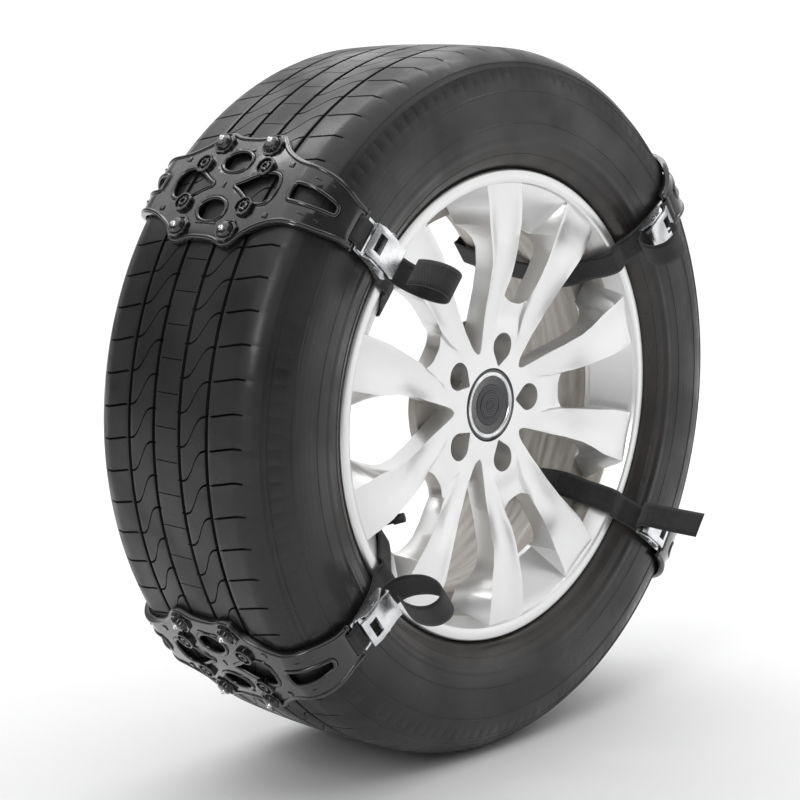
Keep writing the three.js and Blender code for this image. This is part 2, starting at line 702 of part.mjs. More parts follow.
function tensionStrap(tail) {
  const slit = slitMiddle();
  const under = HALF_SECTION + LOW_LIFT;
  const over = OVER_EAR;
  const hem = [
    [under + 3, slit - 17],
    [over, slit - 9],
    [over, slit],
    [under, slit],
  ];
  const innerSide = sidewallRun(WIDEST_RADIUS - 2, FLANGE_RADIUS + 8, LOW_LIFT + 0.4, 4);
  const wellPass = WELL_RADIUS - RIM_WALL - LOW_LIFT - 1;
  const through = [
    [FLANGE_FACE + 2.5, FLANGE_RADIUS + 1],
    [FLANGE_FACE + LOW_LIFT, FLANGE_RADIUS - 3],
    [FLANGE_FACE + LOW_LIFT, LIP_RADIUS - 2],
    [FLANGE_FACE - 8, LIP_RADIUS - 10.5],
    [-HALF_RIM + 63, wellPass],
    [-HALF_RIM + 31, wellPass],
    [-HALF_RIM + 10, BEAD_SEAT_RADIUS - RIM_WALL - 8],
    [-FLANGE_FACE + 6, LIP_RADIUS - 10],
  ];
  const lip = [
    [-FLANGE_FACE - HIGH_LIFT, LIP_RADIUS - 2],
    [-FLANGE_FACE - HIGH_LIFT, FLANGE_RADIUS - 3],
    [-FLANGE_FACE - 5.5, FLANGE_RADIUS + 1],
  ];
  const outerSide = sidewallRun(WIDEST_RADIUS - 18, FLANGE_RADIUS + 9, HIGH_LIFT + 0.7, 2);
  const slot = BUCKLE_RADIUS + BUCKLE_SLOTS.strap.middle;
  const hubEnd = BUCKLE_RADIUS - BUCKLE_LENGTH / 2;
  const buckle = [
    [-UNDER_PLATE, slot - 12],
    [-UNDER_PLATE, slot],
    [-OVER_PLATE, slot],
    [-OVER_PLATE, hubEnd],
  ];
  const end = TAILS[tail].map(([out, along]) => [-OVER_PLATE - out, hubEnd + along]);
  const outer = outerSide.map(street).reverse();
  return band([...hem, ...innerSide, ...through, ...lip, ...outer, ...buckle, ...end]);
}

// ---- Cam buckle: Z from its middle towards the pad, heights are outwards -------------

// Puts outline points, as [height off the plate's underside, towards the pad], in place.
function onBuckle(points, middle = 0) {
  return points.map(([n, z]) => [-BUCKLE_UNDERSIDE - n, BUCKLE_RADIUS + middle + z]);
}

function buckleFrame() {
  const plateMiddle = -BUCKLE_UNDERSIDE - BUCKLE_PLATE / 2;
  let frame = box(BUCKLE_WIDTH, BUCKLE_PLATE, BUCKLE_LENGTH, 0, plateMiddle, BUCKLE_RADIUS);
  for (const { middle, width } of Object.values(BUCKLE_SLOTS)) {
    const opening = WEBBING_WIDTH + BUCKLE_SLOT_SLACK;
    frame = frame.subtract(box(opening, 9, width, 0, plateMiddle, BUCKLE_RADIUS + middle));
  }
  const hubEnd = -BUCKLE_LENGTH / 2;
  const outline = [
    [0, hubEnd],
    [0, 14],
    [4, 14],
    [CHEEK_HEIGHT, 8],
    [CHEEK_HEIGHT, -12],
    [5, hubEnd],
  ];
  const cheek = (x) => bar(onBuckle(outline), CHEEK_THICKNESS).translate([x, 0, 0]);
  const side = (BUCKLE_WIDTH - CHEEK_THICKNESS) / 2;
  const pinHole = lying(PIN_RADIUS + PIN_CLEARANCE, BUCKLE_WIDTH + 4, 8);
  return frame.add(cheek(side)).add(cheek(-side)).subtract(solidOf(atPin(pinHole)));
}

function lying(radius, length, facets) {
  return rod(radius, length, facets).rotateZ(Math.PI / 2);
}

function atPin(geometry) {
  return geometry.translate(0, -BUCKLE_UNDERSIDE - PIN_HEIGHT, BUCKLE_RADIUS + PIN_PLACE);
}

function camLever() {
  const outside = [
    [LEVER_TOP, -19],
    [LEVER_TOP + 1.2, -17],
    [LEVER_TOP, -12],
    [LEVER_TOP, 12],
    [LEVER_TOP - 2.5, 21],
  ];
  const under = LEVER_TOP - LEVER_THICKNESS;
  const inside = [
    [LEVER_TOP - 4.2, 21],
    [under, 11.5],
    [PIN_HEIGHT, 3.5],
    [PIN_HEIGHT, -3.5],
    [under, -8],
    [under, -15],
    [under - 2, -19],
  ];
  const camEdge = [
    [PIN_HEIGHT, 3.4],
    [4.6, 3.9],
    [4.1, 2.2],
    [4.3, 0.2],
    [PIN_HEIGHT, 0],
  ];
  const plate = bar(onBuckle([...outside, ...inside], PIN_PLACE), LEVER_WIDTH);
  const cam = bar(onBuckle(camEdge, PIN_PLACE), LEVER_WIDTH - 2);
  const hubRound = solidOf(atPin(lying(LEVER_HUB_RADIUS, LEVER_WIDTH, 10)));
  const { width, length, middle } = LEVER_WINDOW;
  const windowAt = BUCKLE_RADIUS + PIN_PLACE + middle;
  const window = box(width, 16, length, 0, -BUCKLE_UNDERSIDE - LEVER_TOP, windowAt);
  const bore = solidOf(atPin(lying(PIN_RADIUS + PIN_CLEARANCE, LEVER_WIDTH + 4, 8)));
  const springRoom = solidOf(atPin(lying(SPRING_COIL_RADIUS + 1, SPRING_LENGTH + 1, 10)));
  return plate.add(hubRound).add(cam).subtract(window).subtract(springRoom).subtract(bore);
}

function leverPin() {
  const length = BUCKLE_WIDTH + 1;
  const reach = (length + PIN_HEAD_LENGTH) / 2;
  const head = (side) => lying(PIN_HEAD_RADIUS, PIN_HEAD_LENGTH, 8).translate(side * reach, 0, 0);
  const shaft = solidOf(atPin(lying(PIN_RADIUS, length + PIN_HEAD_LENGTH, 8)));
  return shaft.add(solidOf(atPin(head(1)))).add(solidOf(atPin(head(-1))));
}

function leverSpring() {
  const half = SPRING_LENGTH / 2;
  const ring = [
    [PIN_RADIUS + GAP, -half],
    [SPRING_COIL_RADIUS, -half],
    [SPRING_COIL_RADIUS, half],
    [PIN_RADIUS + GAP, half],
    [PIN_RADIUS + GAP, -half],
  ];
  const outline = ring.map(([r, y]) => new THREE.Vector2(r, y));
  return solidOf(atPin(new THREE.LatheGeometry(outline, 10).rotateZ(Math.PI / 2)));
}

// ---- Assembly -----------------------------------------------------------------------

function unitGroup({ name, angle, tail }) {
  const group = new THREE.Group();
  group.rotation.y = (90 - angle) * DEGREE;
  group.add(piece(`tread_pad_${name}`, "plastic", treadPad()));
  group.add(piece(`anchor_strap_${name}`, "webbing", anchorStrap()));
  group.add(piece(`tension_strap_${name}`, "webbing", tensionStrap(tail)));
  group.add(piece(`buckle_frame_${name}`, "steel", buckleFrame()));
  group.add(piece(`cam_lever_${name}`, "steel", camLever()));
  group.add(piece(`lever_pin_${name}`, "steel", leverPin()));
  group.add(piece(`lever_spring_${name}`, "steel", leverSpring()));
  STUD_CORNERS.forEach(([sx, sy], i) => {
    group.add(piece(`stud_${i + 1}_${name}`, "steel", stud(sx, sy)));
  });
  return group;
}

const assembly = new THREE.Group();
assembly.position.y = WHEEL_OFFSET;
assembly.add(piece("tyre", "rubber", tyre()));
assembly.add(piece("rim_barrel", "alloy", rimBarrel()));
assembly.add(piece("hub", "alloy", hub()));
assembly.add(...spokes());
assembly.add(piece("centre_cap", "plastic", centreCap()));
assembly.add(valveGroup());
UNITS.forEach((unit) => assembly.add(unitGroup(unit)));

const wheel = new THREE.Group();
wheel.add(assembly);

export default wheel;
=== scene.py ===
"""A car wheel and tyre with four strap-on snow grip pads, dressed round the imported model.

Sizes are in millimetres in the wheel's own frame: Y runs inboard along the axle from the
rim's centre plane, Z is up. `Wheel.place` turns them into metres in the model's frame.
"""

import json
import logging
import math
from dataclasses import dataclass, field
from enum import Enum
from typing import Callable, Sequence

import bmesh
import bpy
from mathutils import Matrix, Vector

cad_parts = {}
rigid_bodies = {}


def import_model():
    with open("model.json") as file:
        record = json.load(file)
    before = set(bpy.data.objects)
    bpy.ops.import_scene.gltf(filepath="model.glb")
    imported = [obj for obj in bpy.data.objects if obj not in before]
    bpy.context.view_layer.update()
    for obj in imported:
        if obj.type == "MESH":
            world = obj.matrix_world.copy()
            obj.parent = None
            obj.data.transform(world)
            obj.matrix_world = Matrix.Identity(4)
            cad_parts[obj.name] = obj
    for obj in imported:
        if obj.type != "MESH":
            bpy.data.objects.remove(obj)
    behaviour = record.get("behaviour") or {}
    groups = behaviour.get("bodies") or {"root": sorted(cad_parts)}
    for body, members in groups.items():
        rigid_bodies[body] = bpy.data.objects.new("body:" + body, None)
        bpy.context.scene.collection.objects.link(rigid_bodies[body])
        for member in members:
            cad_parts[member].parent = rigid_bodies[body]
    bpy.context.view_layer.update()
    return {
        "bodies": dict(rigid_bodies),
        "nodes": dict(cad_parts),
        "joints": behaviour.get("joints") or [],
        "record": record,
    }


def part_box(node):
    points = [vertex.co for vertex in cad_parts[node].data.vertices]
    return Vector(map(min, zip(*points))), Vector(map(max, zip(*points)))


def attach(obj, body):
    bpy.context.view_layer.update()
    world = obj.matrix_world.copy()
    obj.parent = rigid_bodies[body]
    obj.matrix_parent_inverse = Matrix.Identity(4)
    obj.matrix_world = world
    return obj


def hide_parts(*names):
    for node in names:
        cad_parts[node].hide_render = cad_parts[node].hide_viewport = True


LOG = logging.getLogger("wheel")
MM = 0.001
Point = tuple[float, float]


class Slot(Enum):
    """The record's material slots."""

    TYRE = "tyre_rubber"
    ALLOY = "alloy"
    CAP = "cap_plastic"
    VALVE = "valve_rubber"
    VALVE_CAP = "valve_cap_plastic"
    PAD = "pad_plastic"
    WEBBING = "webbing"
    BUCKLE = "buckle_steel"
    PIN = "pin_steel"
    STUD = "stud_steel"


class Tail(Enum):
    """How the free end of a strap lies beyond its buckle."""

    CURL = "curl"
    OPEN_LOOP = "open_loop"
    UPRIGHT_LOOP = "upright_loop"
    STRAIGHT = "straight"


# ---- Small helpers --------------------------------------------------------------------


def smoothstep(value: float, low: float, high: float) -> float:
    """A smooth rise from 0 at low to 1 at high.

    Args:
        value: the value to place.
        low: where the rise starts.
        high: where it ends.

    Returns:
        The height of the rise, from 0 to 1.
    """
    t = min(1.0, max(0.0, (value - low) / (high - low)))
    return t * t * (3 - 2 * t)


def ramp(value: float, table: Sequence[Point]) -> float:
    """Reads a value off a table of (place, value) by straight lines.

    Args:
        value: the place to read at.
        table: pairs in rising order of place.

    Returns:
        The value there, held level past both ends.
    """
    if value <= table[0][0]:
        return table[0][1]
    for (a, va), (b, vb) in zip(table, table[1:]):
        if value <= b:
            return va + (vb - va) * (value - a) / (b - a)
    return table[-1][1]


def smooth_path(points: Sequence[Point], spacing: float) -> list[Point]:
    """Rounds a route of a few points into a fine Catmull-Rom curve.

    Args:
        points: the route's corners.
        spacing: about how far apart the new points are.

    Returns:
        The finer route, through every corner given.
    """
    padded = [points[0], *points, points[-1]]
    fine: list[Point] = []
    for p0, p1, p2, p3 in zip(padded, padded[1:], padded[2:], padded[3:]):
        steps = max(1, round(math.dist(p1, p2) / spacing))
        for i in range(steps):
            t = i / steps
            weights = (
                (-t + 2 * t**2 - t**3) / 2,
                (2 - 5 * t**2 + 3 * t**3) / 2,
                (t + 4 * t**2 - 3 * t**3) / 2,
                (t**3 - t**2) / 2,
            )
            x = sum(w * p[0] for w, p in zip(weights, (p0, p1, p2, p3)))
            y = sum(w * p[1] for w, p in zip(weights, (p0, p1, p2, p3)))
            fine.append((x, y))
    fine.append(points[-1])
    return fine


def path_length(points: Sequence[Point]) -> float:
    """The length along a route.

    Args:
        points: the route.

    Returns:
        The sum of its legs.
    """
    return sum(math.dist(a, b) for a, b in zip(points, points[1:]))


def evenly(points: Sequence[Point], count: int) -> list[Point]:
    """Places count + 1 points evenly along a route.

    Args:
        points: the route.
        count: how many equal steps.

    Returns:
        The new points, with both ends.
    """
    total = path_length(points)
    result: list[Point] = []
    walked = 0.0
    targets = [total * i / count for i in range(count + 1)]
    for a, b in zip(points, points[1:]):
        leg = math.dist(a, b)
        while targets and targets[0] <= walked + leg + 1e-9:
            t = (targets.pop(0) - walked) / leg if leg else 0.0
            result.append((a[0] + (b[0] - a[0]) * t, a[1] + (b[1] - a[1]) * t))
        walked += leg
    while len(result) <= count:
        result.append(points[-1])
    return result


# ---- Node materials -------------------------------------------------------------------


class Graph:
    """A short way to write a material's nodes."""

    def __init__(self, name: str) -> None:
        """Starts a material with a Principled shader.

        Args:
            name: the material's name.
        """
        self.material = bpy.data.materials.new(name)
        self.material.use_nodes = True
        self.tree = self.material.node_tree
        self.shader = self.tree.nodes["Principled BSDF"]

    def add(self, kind: str, **settings: object) -> bpy.types.Node:
        """Adds a node, with its properties set by name.

        Args:
            kind: the node's type.
            settings: its properties.

        Returns:
            The new node.
        """
        node = self.tree.nodes.new(kind)
        for key, value in settings.items():
            setattr(node, key, value)
        return node

    def link(self, source: object, target: object) -> None:
        """Joins an output, or a node's first output, to an input.

        Args:
            source: an output, or a node.
            target: the input.
        """
        output = source.outputs[0] if isinstance(source, bpy.types.Node) else source
        self.tree.links.new(output, target)

    def set(self, **values: object) -> None:
        """Sets the shader's sockets, with spaces written as underscores.

        Args:
            values: the sockets and what they are set to.
        """
        for key, value in values.items():
            self.shader.inputs[key.replace("_", " ")].default_value = value

    def math(self, operation: str, *values: object) -> bpy.types.Node:
        """A Math node whose inputs are numbers or other nodes' outputs.

        Args:
            operation: what it works out.
            values: its inputs in order.

        Returns:
            The new node.
        """
        node = self.add("ShaderNodeMath", operation=operation)
        for socket, value in zip(node.inputs, values):
            if isinstance(value, (int, float)):
                socket.default_value = value
            else:
                self.link(value, socket)
        return node

    def coordinates(self, source: str = "Object") -> bpy.types.NodeSocket:
        """The Object or UV coordinates.

        Args:
            source: which coordinates.

        Returns:
            The socket with them.
        """
        return self.add("ShaderNodeTexCoord").outputs[source]

    def noise(self, scale: float, detail: float = 4.0, source: str = "Object",
              stretch: Sequence[float] = (1, 1, 1)) -> bpy.types.NodeSocket:
        """A noise pattern's value.

        Args:
            scale: how fine it is.
            detail: how many octaves it has.
            source: the coordinates that it reads.
            stretch: how the pattern is squeezed along each axis.

        Returns:
            The socket with the noise's value.
        """
        mapping = self.add("ShaderNodeMapping")
        mapping.inputs["Scale"].default_value = stretch
        self.link(self.coordinates(source), mapping.inputs["Vector"])
        node = self.add("ShaderNodeTexNoise")
        node.inputs["Scale"].default_value = scale
        node.inputs["Detail"].default_value = detail
        self.link(mapping, node.inputs["Vector"])
        return node.outputs["Fac"]

    def between(self, value: object, low: object, high: object,
                span: Point = (0.35, 0.65)) -> bpy.types.NodeSocket:
        """Spreads a value between two colours or two numbers.

        Args:
            value: the socket to read.
            low: what it gives at the span's start, a colour or a number.
            high: what it gives at the span's end.
            span: the stretch of the value that is used.

        Returns:
            The socket with the result.
        """
        if isinstance(low, (int, float)):
            node = self.add("ShaderNodeMapRange")
            names = ("From Min", "From Max", "To Min", "To Max")
            for name, number in zip(names, (*span, low, high)):
                node.inputs[name].default_value = number
            self.link(value, node.inputs["Value"])
            return node.outputs["Result"]
        node = self.add("ShaderNodeValToRGB")
        node.color_ramp.elements[0].position = span[0]
        node.color_ramp.elements[1].position = span[1]
        node.color_ramp.elements[0].color = (*low, 1)
        node.color_ramp.elements[1].color = (*high, 1)
        self.link(value, node.inputs["Fac"])
        return node.outputs["Color"]

    def bump(self, height: object, strength: float, distance: float,
             under: object = None) -> bpy.types.NodeSocket:
        """A bump from a height, on top of another bump if one is given.

        Args:
            height: the pattern.
            strength: how much it counts.
            distance: its full height in metres.
            under: the bump below it.

        Returns:
            The socket with the normal.
        """
        node = self.add("ShaderNodeBump")
        node.inputs["Strength"].default_value = strength
        node.inputs["Distance"].default_value = distance
        self.link(height, node.inputs["Height"])
        if under is not None:
            self.link(under, node.inputs["Normal"])
        return node.outputs["Normal"]

    def finish(self, colour: object = None, roughness: object = None,
               normal: object = None) -> bpy.types.Material:
        """Joins the patterns to the shader and returns the material.

        Args:
            colour: the base colour.
            roughness: the roughness.
            normal: the normal.

        Returns:
            The finished material.
        """
        for name, source in (("Base Color", colour), ("Roughness", roughness), ("Normal", normal)):
            if source is not None:
                self.link(source, self.shader.inputs[name])
        return self.material

    def axle_polar(self) -> tuple[bpy.types.Node, bpy.types.Node, bpy.types.NodeSocket]:
        """Radius and angle about the axle, and the place along it, in metres and turns of pi.

        Returns:
            The nodes for the radius and the angle, and the socket for the place along.
        """
        split = self.add("ShaderNodeSeparateXYZ")
        self.link(self.coordinates(), split.inputs[0])
        x, y, z = split.outputs
        squares = self.math("ADD", self.math("MULTIPLY", x, x), self.math("MULTIPLY", z, z))
        return self.math("SQRT", squares), self.math("ARCTAN2", z, x), y


@dataclass(frozen=True)
class TyreRubber:
    """Black tyre rubber: dusty in places, glossier in patches, brown at the bead."""

    tread: tuple[float, float, float] = (0.009, 0.009, 0.0095)
    dusty: tuple[float, float, float] = (0.021, 0.0205, 0.0205)
    bead: tuple[float, float, float] = (0.036, 0.030, 0.026)
    bead_from: float = 0.262
    bead_to: float = 0.228

    def material(self) -> bpy.types.Material:
        """Builds the material.

        Returns:
            The material.
        """
        g = Graph("tyre_rubber")
        radius, _, _ = g.axle_polar()
        dust = g.between(g.noise(9, 6), self.tread, self.dusty, (0.40, 0.72))
        zone = g.between(radius.outputs[0], 1.0, 0.0, (self.bead_to, self.bead_from))
        mix = g.add("ShaderNodeMix", data_type="RGBA")
        g.link(g.math("MULTIPLY", zone, g.between(g.noise(24, 5), 0.35, 1.0)), mix.inputs["Factor"])
        g.link(dust, mix.inputs["A"])
        mix.inputs["B"].default_value = (*self.bead, 1)
        polish = g.noise(16, 3)
        roughness = g.between(polish, 0.24, 0.56, (0.36, 0.62))
        scuffs = g.bump(g.noise(900, 3), 0.25, 0.0003)
        moulded = g.bump(g.noise(55, 6), 0.35, 0.0009, scuffs)
        lines = g.add("ShaderNodeTexWave", wave_type="RINGS", rings_direction="Y")
        g.link(g.coordinates(), lines.inputs["Vector"])
        lines.inputs["Scale"].default_value = 55
        lines.inputs["Distortion"].default_value = 0.6
        normal = g.bump(lines.outputs["Fac"], 0.12, 0.0004, moulded)
        g.set(Specular_IOR_Level=0.42, Coat_Weight=0.14, Coat_Roughness=0.22)
        return g.finish(mix.outputs["Result"], roughness, normal)


@dataclass(frozen=True)
class SilverLacquer:
    """Bright silver wheel lacquer over cast aluminium."""

    pale: tuple[float, float, float] = (0.85, 0.85, 0.845)
    dark: tuple[float, float, float] = (0.80, 0.80, 0.795)
    metallic: float = 0.82

    def material(self) -> bpy.types.Material:
        """Builds the material.

        Returns:
            The material.
        """
        g = Graph("silver_lacquer")
        colour = g.between(g.noise(7, 3), self.dark, self.pale, (0.3, 0.7))
        flakes = g.noise(700, 2)
        roughness = g.between(g.noise(18, 3), 0.29, 0.37, (0.3, 0.7))
        normal = g.bump(flakes, 0.02, 0.0001)
        g.set(Metallic=self.metallic, Coat_Weight=0.25, Coat_Roughness=0.2)
        return g.finish(colour, roughness, normal)


@dataclass(frozen=True)
class CastBarrel:
    """The barrel's inside: plainer, warmer metal with turning marks and brake dust."""

    clean: tuple[float, float, float] = (0.56, 0.54, 0.51)
    dusty: tuple[float, float, float] = (0.36, 0.33, 0.30)

    def material(self) -> bpy.types.Material:
        """Builds the material.

        Returns:
            The material.
        """
        g = Graph("cast_barrel")
        _, _, along = g.axle_polar()
        bands = g.math("SINE", g.math("MULTIPLY", along, 420.0))
        streaks = g.noise(26, 6, stretch=(1, 5, 1))
        stain = g.math("ADD", g.math("MULTIPLY", bands, 0.06), streaks)
        colour = g.between(stain, self.dusty, self.clean, (0.34, 0.66))
        normal = g.bump(bands, 0.25, 0.0005, g.bump(g.noise(400, 3), 0.2, 0.0003))
        g.set(Metallic=0.45)
        return g.finish(colour, g.between(streaks, 0.36, 0.6), normal)


@dataclass(frozen=True)
class GlossPlastic:
    """Moulded plastic with a soft orange peel and fine scratches."""

    name: str
    colour: tuple[float, float, float]
    scuffed: tuple[float, float, float]
    rough: Point = (0.16, 0.34)
    coat: float = 0.8

    def material(self) -> bpy.types.Material:
        """Builds the material.

        Returns:
            The material.
        """
        g = Graph(self.name)
        colour = g.between(g.noise(45, 6), self.colour, self.scuffed, (0.45, 0.75))
        scratches = g.noise(300, 4, stretch=(1, 9, 1))
        peel = g.bump(g.noise(120, 2), 0.13, 0.0006)
        normal = g.bump(scratches, 0.10, 0.0002, peel)
        g.set(Coat_Weight=self.coat, Coat_Roughness=0.1)
        return g.finish(colour, g.between(g.noise(70, 5), *self.rough), normal)


@dataclass(frozen=True)
class Webbing:
    """Woven tape: ribs across it and warp lines along it, on the piece's UV."""

    thread: tuple[float, float, float] = (0.012, 0.012, 0.013)
    worn: tuple[float, float, float] = (0.026, 0.026, 0.028)
    rib: float = 1.5

    def material(self) -> bpy.types.Material:
        """Builds the material. The UV is in millimetres, across and along.

        Returns:
            The material.
        """
        g = Graph("webbing")
        split = g.add("ShaderNodeSeparateXYZ")
        g.link(g.coordinates("UV"), split.inputs[0])
        across, along, _ = split.outputs
        turn = 2 * math.pi / self.rib
        warp = g.math("SINE", g.math("MULTIPLY", across, turn))
        shifted = g.math("ADD", g.math("MULTIPLY", along, turn), g.math("MULTIPLY", across, turn / 2))
        weft = g.math("SINE", shifted)
        weave = g.math("MULTIPLY", warp, weft)
        fuzz = g.noise(4, 4, "UV")
        normal = g.bump(weave, 0.7, 0.0006, g.bump(fuzz, 0.3, 0.0004))
        g.set(Sheen_Weight=0.25, Sheen_Roughness=0.5, Specular_IOR_Level=0.3)
        colour = g.between(g.noise(0.12, 5, "UV"), self.thread, self.worn, (0.42, 0.8))
        return g.finish(colour, g.between(weave, 0.62, 0.85, (-1.0, 1.0)), normal)


@dataclass(frozen=True)
class PlatedSteel:
    """Bright plated steel with fine brushing and small pits."""

    name: str
    bright: tuple[float, float, float] = (0.86, 0.87, 0.88)
    dull: tuple[float, float, float] = (0.62, 0.63, 0.65)
    rough: Point = (0.14, 0.32)

    def material(self) -> bpy.types.Material:
        """Builds the material.

        Returns:
            The material.
        """
        g = Graph(self.name)
        brushed = g.noise(700, 3, stretch=(1, 1, 12))
        colour = g.between(g.noise(80, 5), self.dull, self.bright, (0.3, 0.6))
        normal = g.bump(brushed, 0.18, 0.00018, g.bump(g.noise(240, 3), 0.14, 0.0003))
        g.set(Metallic=1.0)
        return g.finish(colour, g.between(brushed, *self.rough), normal)


@dataclass(frozen=True)
class TurnedMetal:
    """Dark metal with fine rings turned round the axle."""

    dark: tuple[float, float, float] = (0.05, 0.05, 0.055)
    pale: tuple[float, float, float] = (0.11, 0.11, 0.115)

    def material(self) -> bpy.types.Material:
        """Builds the material.

        Returns:
            The material.
        """
        g = Graph("turned_metal")
        radius, _, _ = g.axle_polar()
        rings = g.math("SINE", g.math("MULTIPLY", radius, 2600.0))
        g.set(Metallic=0.9)
        return g.finish(g.between(rings, self.dark, self.pale, (-1.0, 1.0)),
                        g.between(g.noise(9, 2), 0.3, 0.36), g.bump(rings, 0.05, 0.0001))


@dataclass(frozen=True)
class PaleFloor:
    """Plain pale studio floor, with a faint unevenness."""

    colour: tuple[float, float, float] = (0.90, 0.90, 0.905)

    def material(self) -> bpy.types.Material:
        """Builds the material.

        Returns:
            The material.
        """
        g = Graph("pale_floor")
        dim = tuple(0.985 * c for c in self.colour)
        return g.finish(g.between(g.noise(3, 2), dim, self.colour), g.between(g.noise(5), 0.6, 0.7))


class Palette:
    """Every finish, made once."""

    def __init__(self) -> None:
        """Builds the materials."""
        self.tyre = TyreRubber().material()
        self.silver = SilverLacquer().material()
        self.barrel = CastBarrel().material()
        self.pad = GlossPlastic("pad_plastic", (0.004, 0.004, 0.0045), (0.011, 0.011, 0.012),
                                (0.13, 0.27), 0.8).material()
        self.cap = GlossPlastic("cap_plastic", (0.010, 0.010, 0.011), (0.018, 0.018, 0.02)).material()
        self.black = GlossPlastic("black_rubber", (0.015, 0.015, 0.015), (0.035, 0.034, 0.033),
                                  (0.5, 0.75), 0.0).material()
        self.webbing = Webbing().material()
        self.steel = PlatedSteel("plated_steel").material()
        self.stud = PlatedSteel("stud_steel", (0.95, 0.95, 0.95), (0.8, 0.8, 0.8), (0.1, 0.2)).material()
        self.dark_chrome = TurnedMetal().material()
        self.pin = PlatedSteel("pin_steel", (0.7, 0.7, 0.71), (0.5, 0.5, 0.52), (0.2, 0.4)).material()
        self.floor = PaleFloor().material()


# ---- The wheel's frame and its finished pieces ----------------------------------------


@dataclass
class Wheel:
    """The sizes that every piece shares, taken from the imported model."""

    frame: dict
    body: str = "wheel"
    half_tread: float = 78.0
    crown_drop: float = 3.0
    flange_radius: float = 220.0
    flange_face: float = 96.0
    half_rim: float = 82.5
    lip_radius: float = 207.0
    bead_seat_radius: float = 202.8
    well_radius: float = 184.3
    offset: float = field(init=False)
    radius: float = field(init=False)
    ground: float = field(init=False)
    half_section: float = field(init=False)
    widest_radius: float = field(init=False)

    def __post_init__(self) -> None:
        """Reads the tyre's place and size."""
        low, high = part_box("tyre")
        self.offset = (low.y + high.y) / 2 / MM
        self.half_section = (high.y - low.y) / 2 / MM
        self.radius = (high.x - low.x) / 2 / MM
        self.ground = -low.z / MM
        self.widest_radius = self.flange_radius + 55.0
        self.side = self.side_curve()

    def side_curve(self) -> list[Point]:
        """The tyre's outside from the tread's middle to the bead, as (axial, radius).

        Returns:
            Its points.
        """
        points = [(y, self.crown(y)) for y in (self.half_tread * i / 12 for i in range(13))]
        for i in range(1, 25):
            t = i / 24 * math.pi / 2
            y = self.half_tread + (self.half_section - self.half_tread) * math.sin(t)
            drop = (self.radius - self.crown_drop - self.widest_radius) * (1 - math.cos(t))
            points.append((y, self.radius - self.crown_drop - drop))
        low = (self.half_rim + 11.0, self.flange_radius + 2.5)
        for i in range(1, 17):
            t = i / 16 * math.pi / 2
            y = self.half_section + (low[0] - self.half_section) * (1 - math.cos(t))
            points.append((y, self.widest_radius + (low[1] - self.widest_radius) * math.sin(t)))
        return points

    def crown(self, y: float) -> float:
        """The tread's radius at a place along the axle.

        Args:
            y: the place along the axle.

        Returns:
            The radius in millimetres.
        """
        return self.radius - self.crown_drop * (y / self.half_tread) ** 2

    def on_tyre(self, length: float, lift: float) -> Point:
        """The place at a length along the tyre's outside, lifted off it.

        Args:
            length: from the tread's middle, along the outside.
            lift: how far off the surface.

        Returns:
            The place, as (axial, radius).
        """
        left = abs(length)
        last = len(self.side) - 1
        for i, ((y0, r0), (y1, r1)) in enumerate(zip(self.side, self.side[1:]), start=1):
            step = math.dist((y0, r0), (y1, r1))
            if left <= step or i == last:
                t = left / step
                ny, nr = (r0 - r1) / step, (y1 - y0) / step
                return y0 + (y1 - y0) * t + ny * lift, r0 + (r1 - r0) * t + nr * lift
            left -= step
        return self.side[-1]

    def length_at(self, radius: float) -> float:
        """The length along the tyre at which its outside falls to a radius.

        Args:
            radius: the radius to reach.

        Returns:
            The length in millimetres.
        """
        length = 0.0
        for (y0, r0), (y1, r1) in zip(self.side, self.side[1:]):
            if r1 <= radius:
                return length + math.dist((y0, r0), (y1, radius))
            length += math.dist((y0, r0), (y1, r1))
        return length

    def place(self, bm: bmesh.types.BMesh, angle: float | None = None) -> None:
        """Moves a mesh in millimetres to its place in the model's frame, in metres.

        Args:
            bm: the mesh. With an angle, its Z points out along the unit's radius.
            angle: the unit's angle round the wheel in degrees, or None.
        """
        turn = Matrix.Identity(4) if angle is None else Matrix.Rotation(math.radians(90 - angle), 4, "Y")
        shift = Matrix.Translation((0, self.offset, 0))
        bm.transform(Matrix.Scale(MM, 4) @ shift @ turn)

    def piece(self, name: str, bm: bmesh.types.BMesh, material: bpy.types.Material, slot: Slot,
              replaces: Sequence[str] = (), body: str | None = None,
              sharp: float = 32.0) -> bpy.types.Object:
        """Makes a finished piece that rides on a body.

        Args:
            name: the piece's name.
            bm: its mesh, already in place. It is freed.
            material: its finish.
            slot: the record's slot that it takes its finish from. It is not used.
            replaces: the model's nodes that it stands for.
            body: the body that it rides on, or the wheel.
            sharp: edges that turn more than this many degrees stay sharp.

        Returns:
            The new object.
        """
        mesh = bpy.data.meshes.new(name)
        bm.to_mesh(mesh)
        bm.free()
        mesh.shade_smooth()
        mesh.set_sharp_from_angle(angle=math.radians(sharp))
        mesh.materials.append(material)
        obj = bpy.data.objects.new(name, mesh)
        bpy.context.scene.collection.objects.link(obj)
        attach(obj, body or self.body)
        if replaces:
            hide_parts(*replaces)
        LOG.info("%s: %d faces", name, len(mesh.polygons))
        return obj


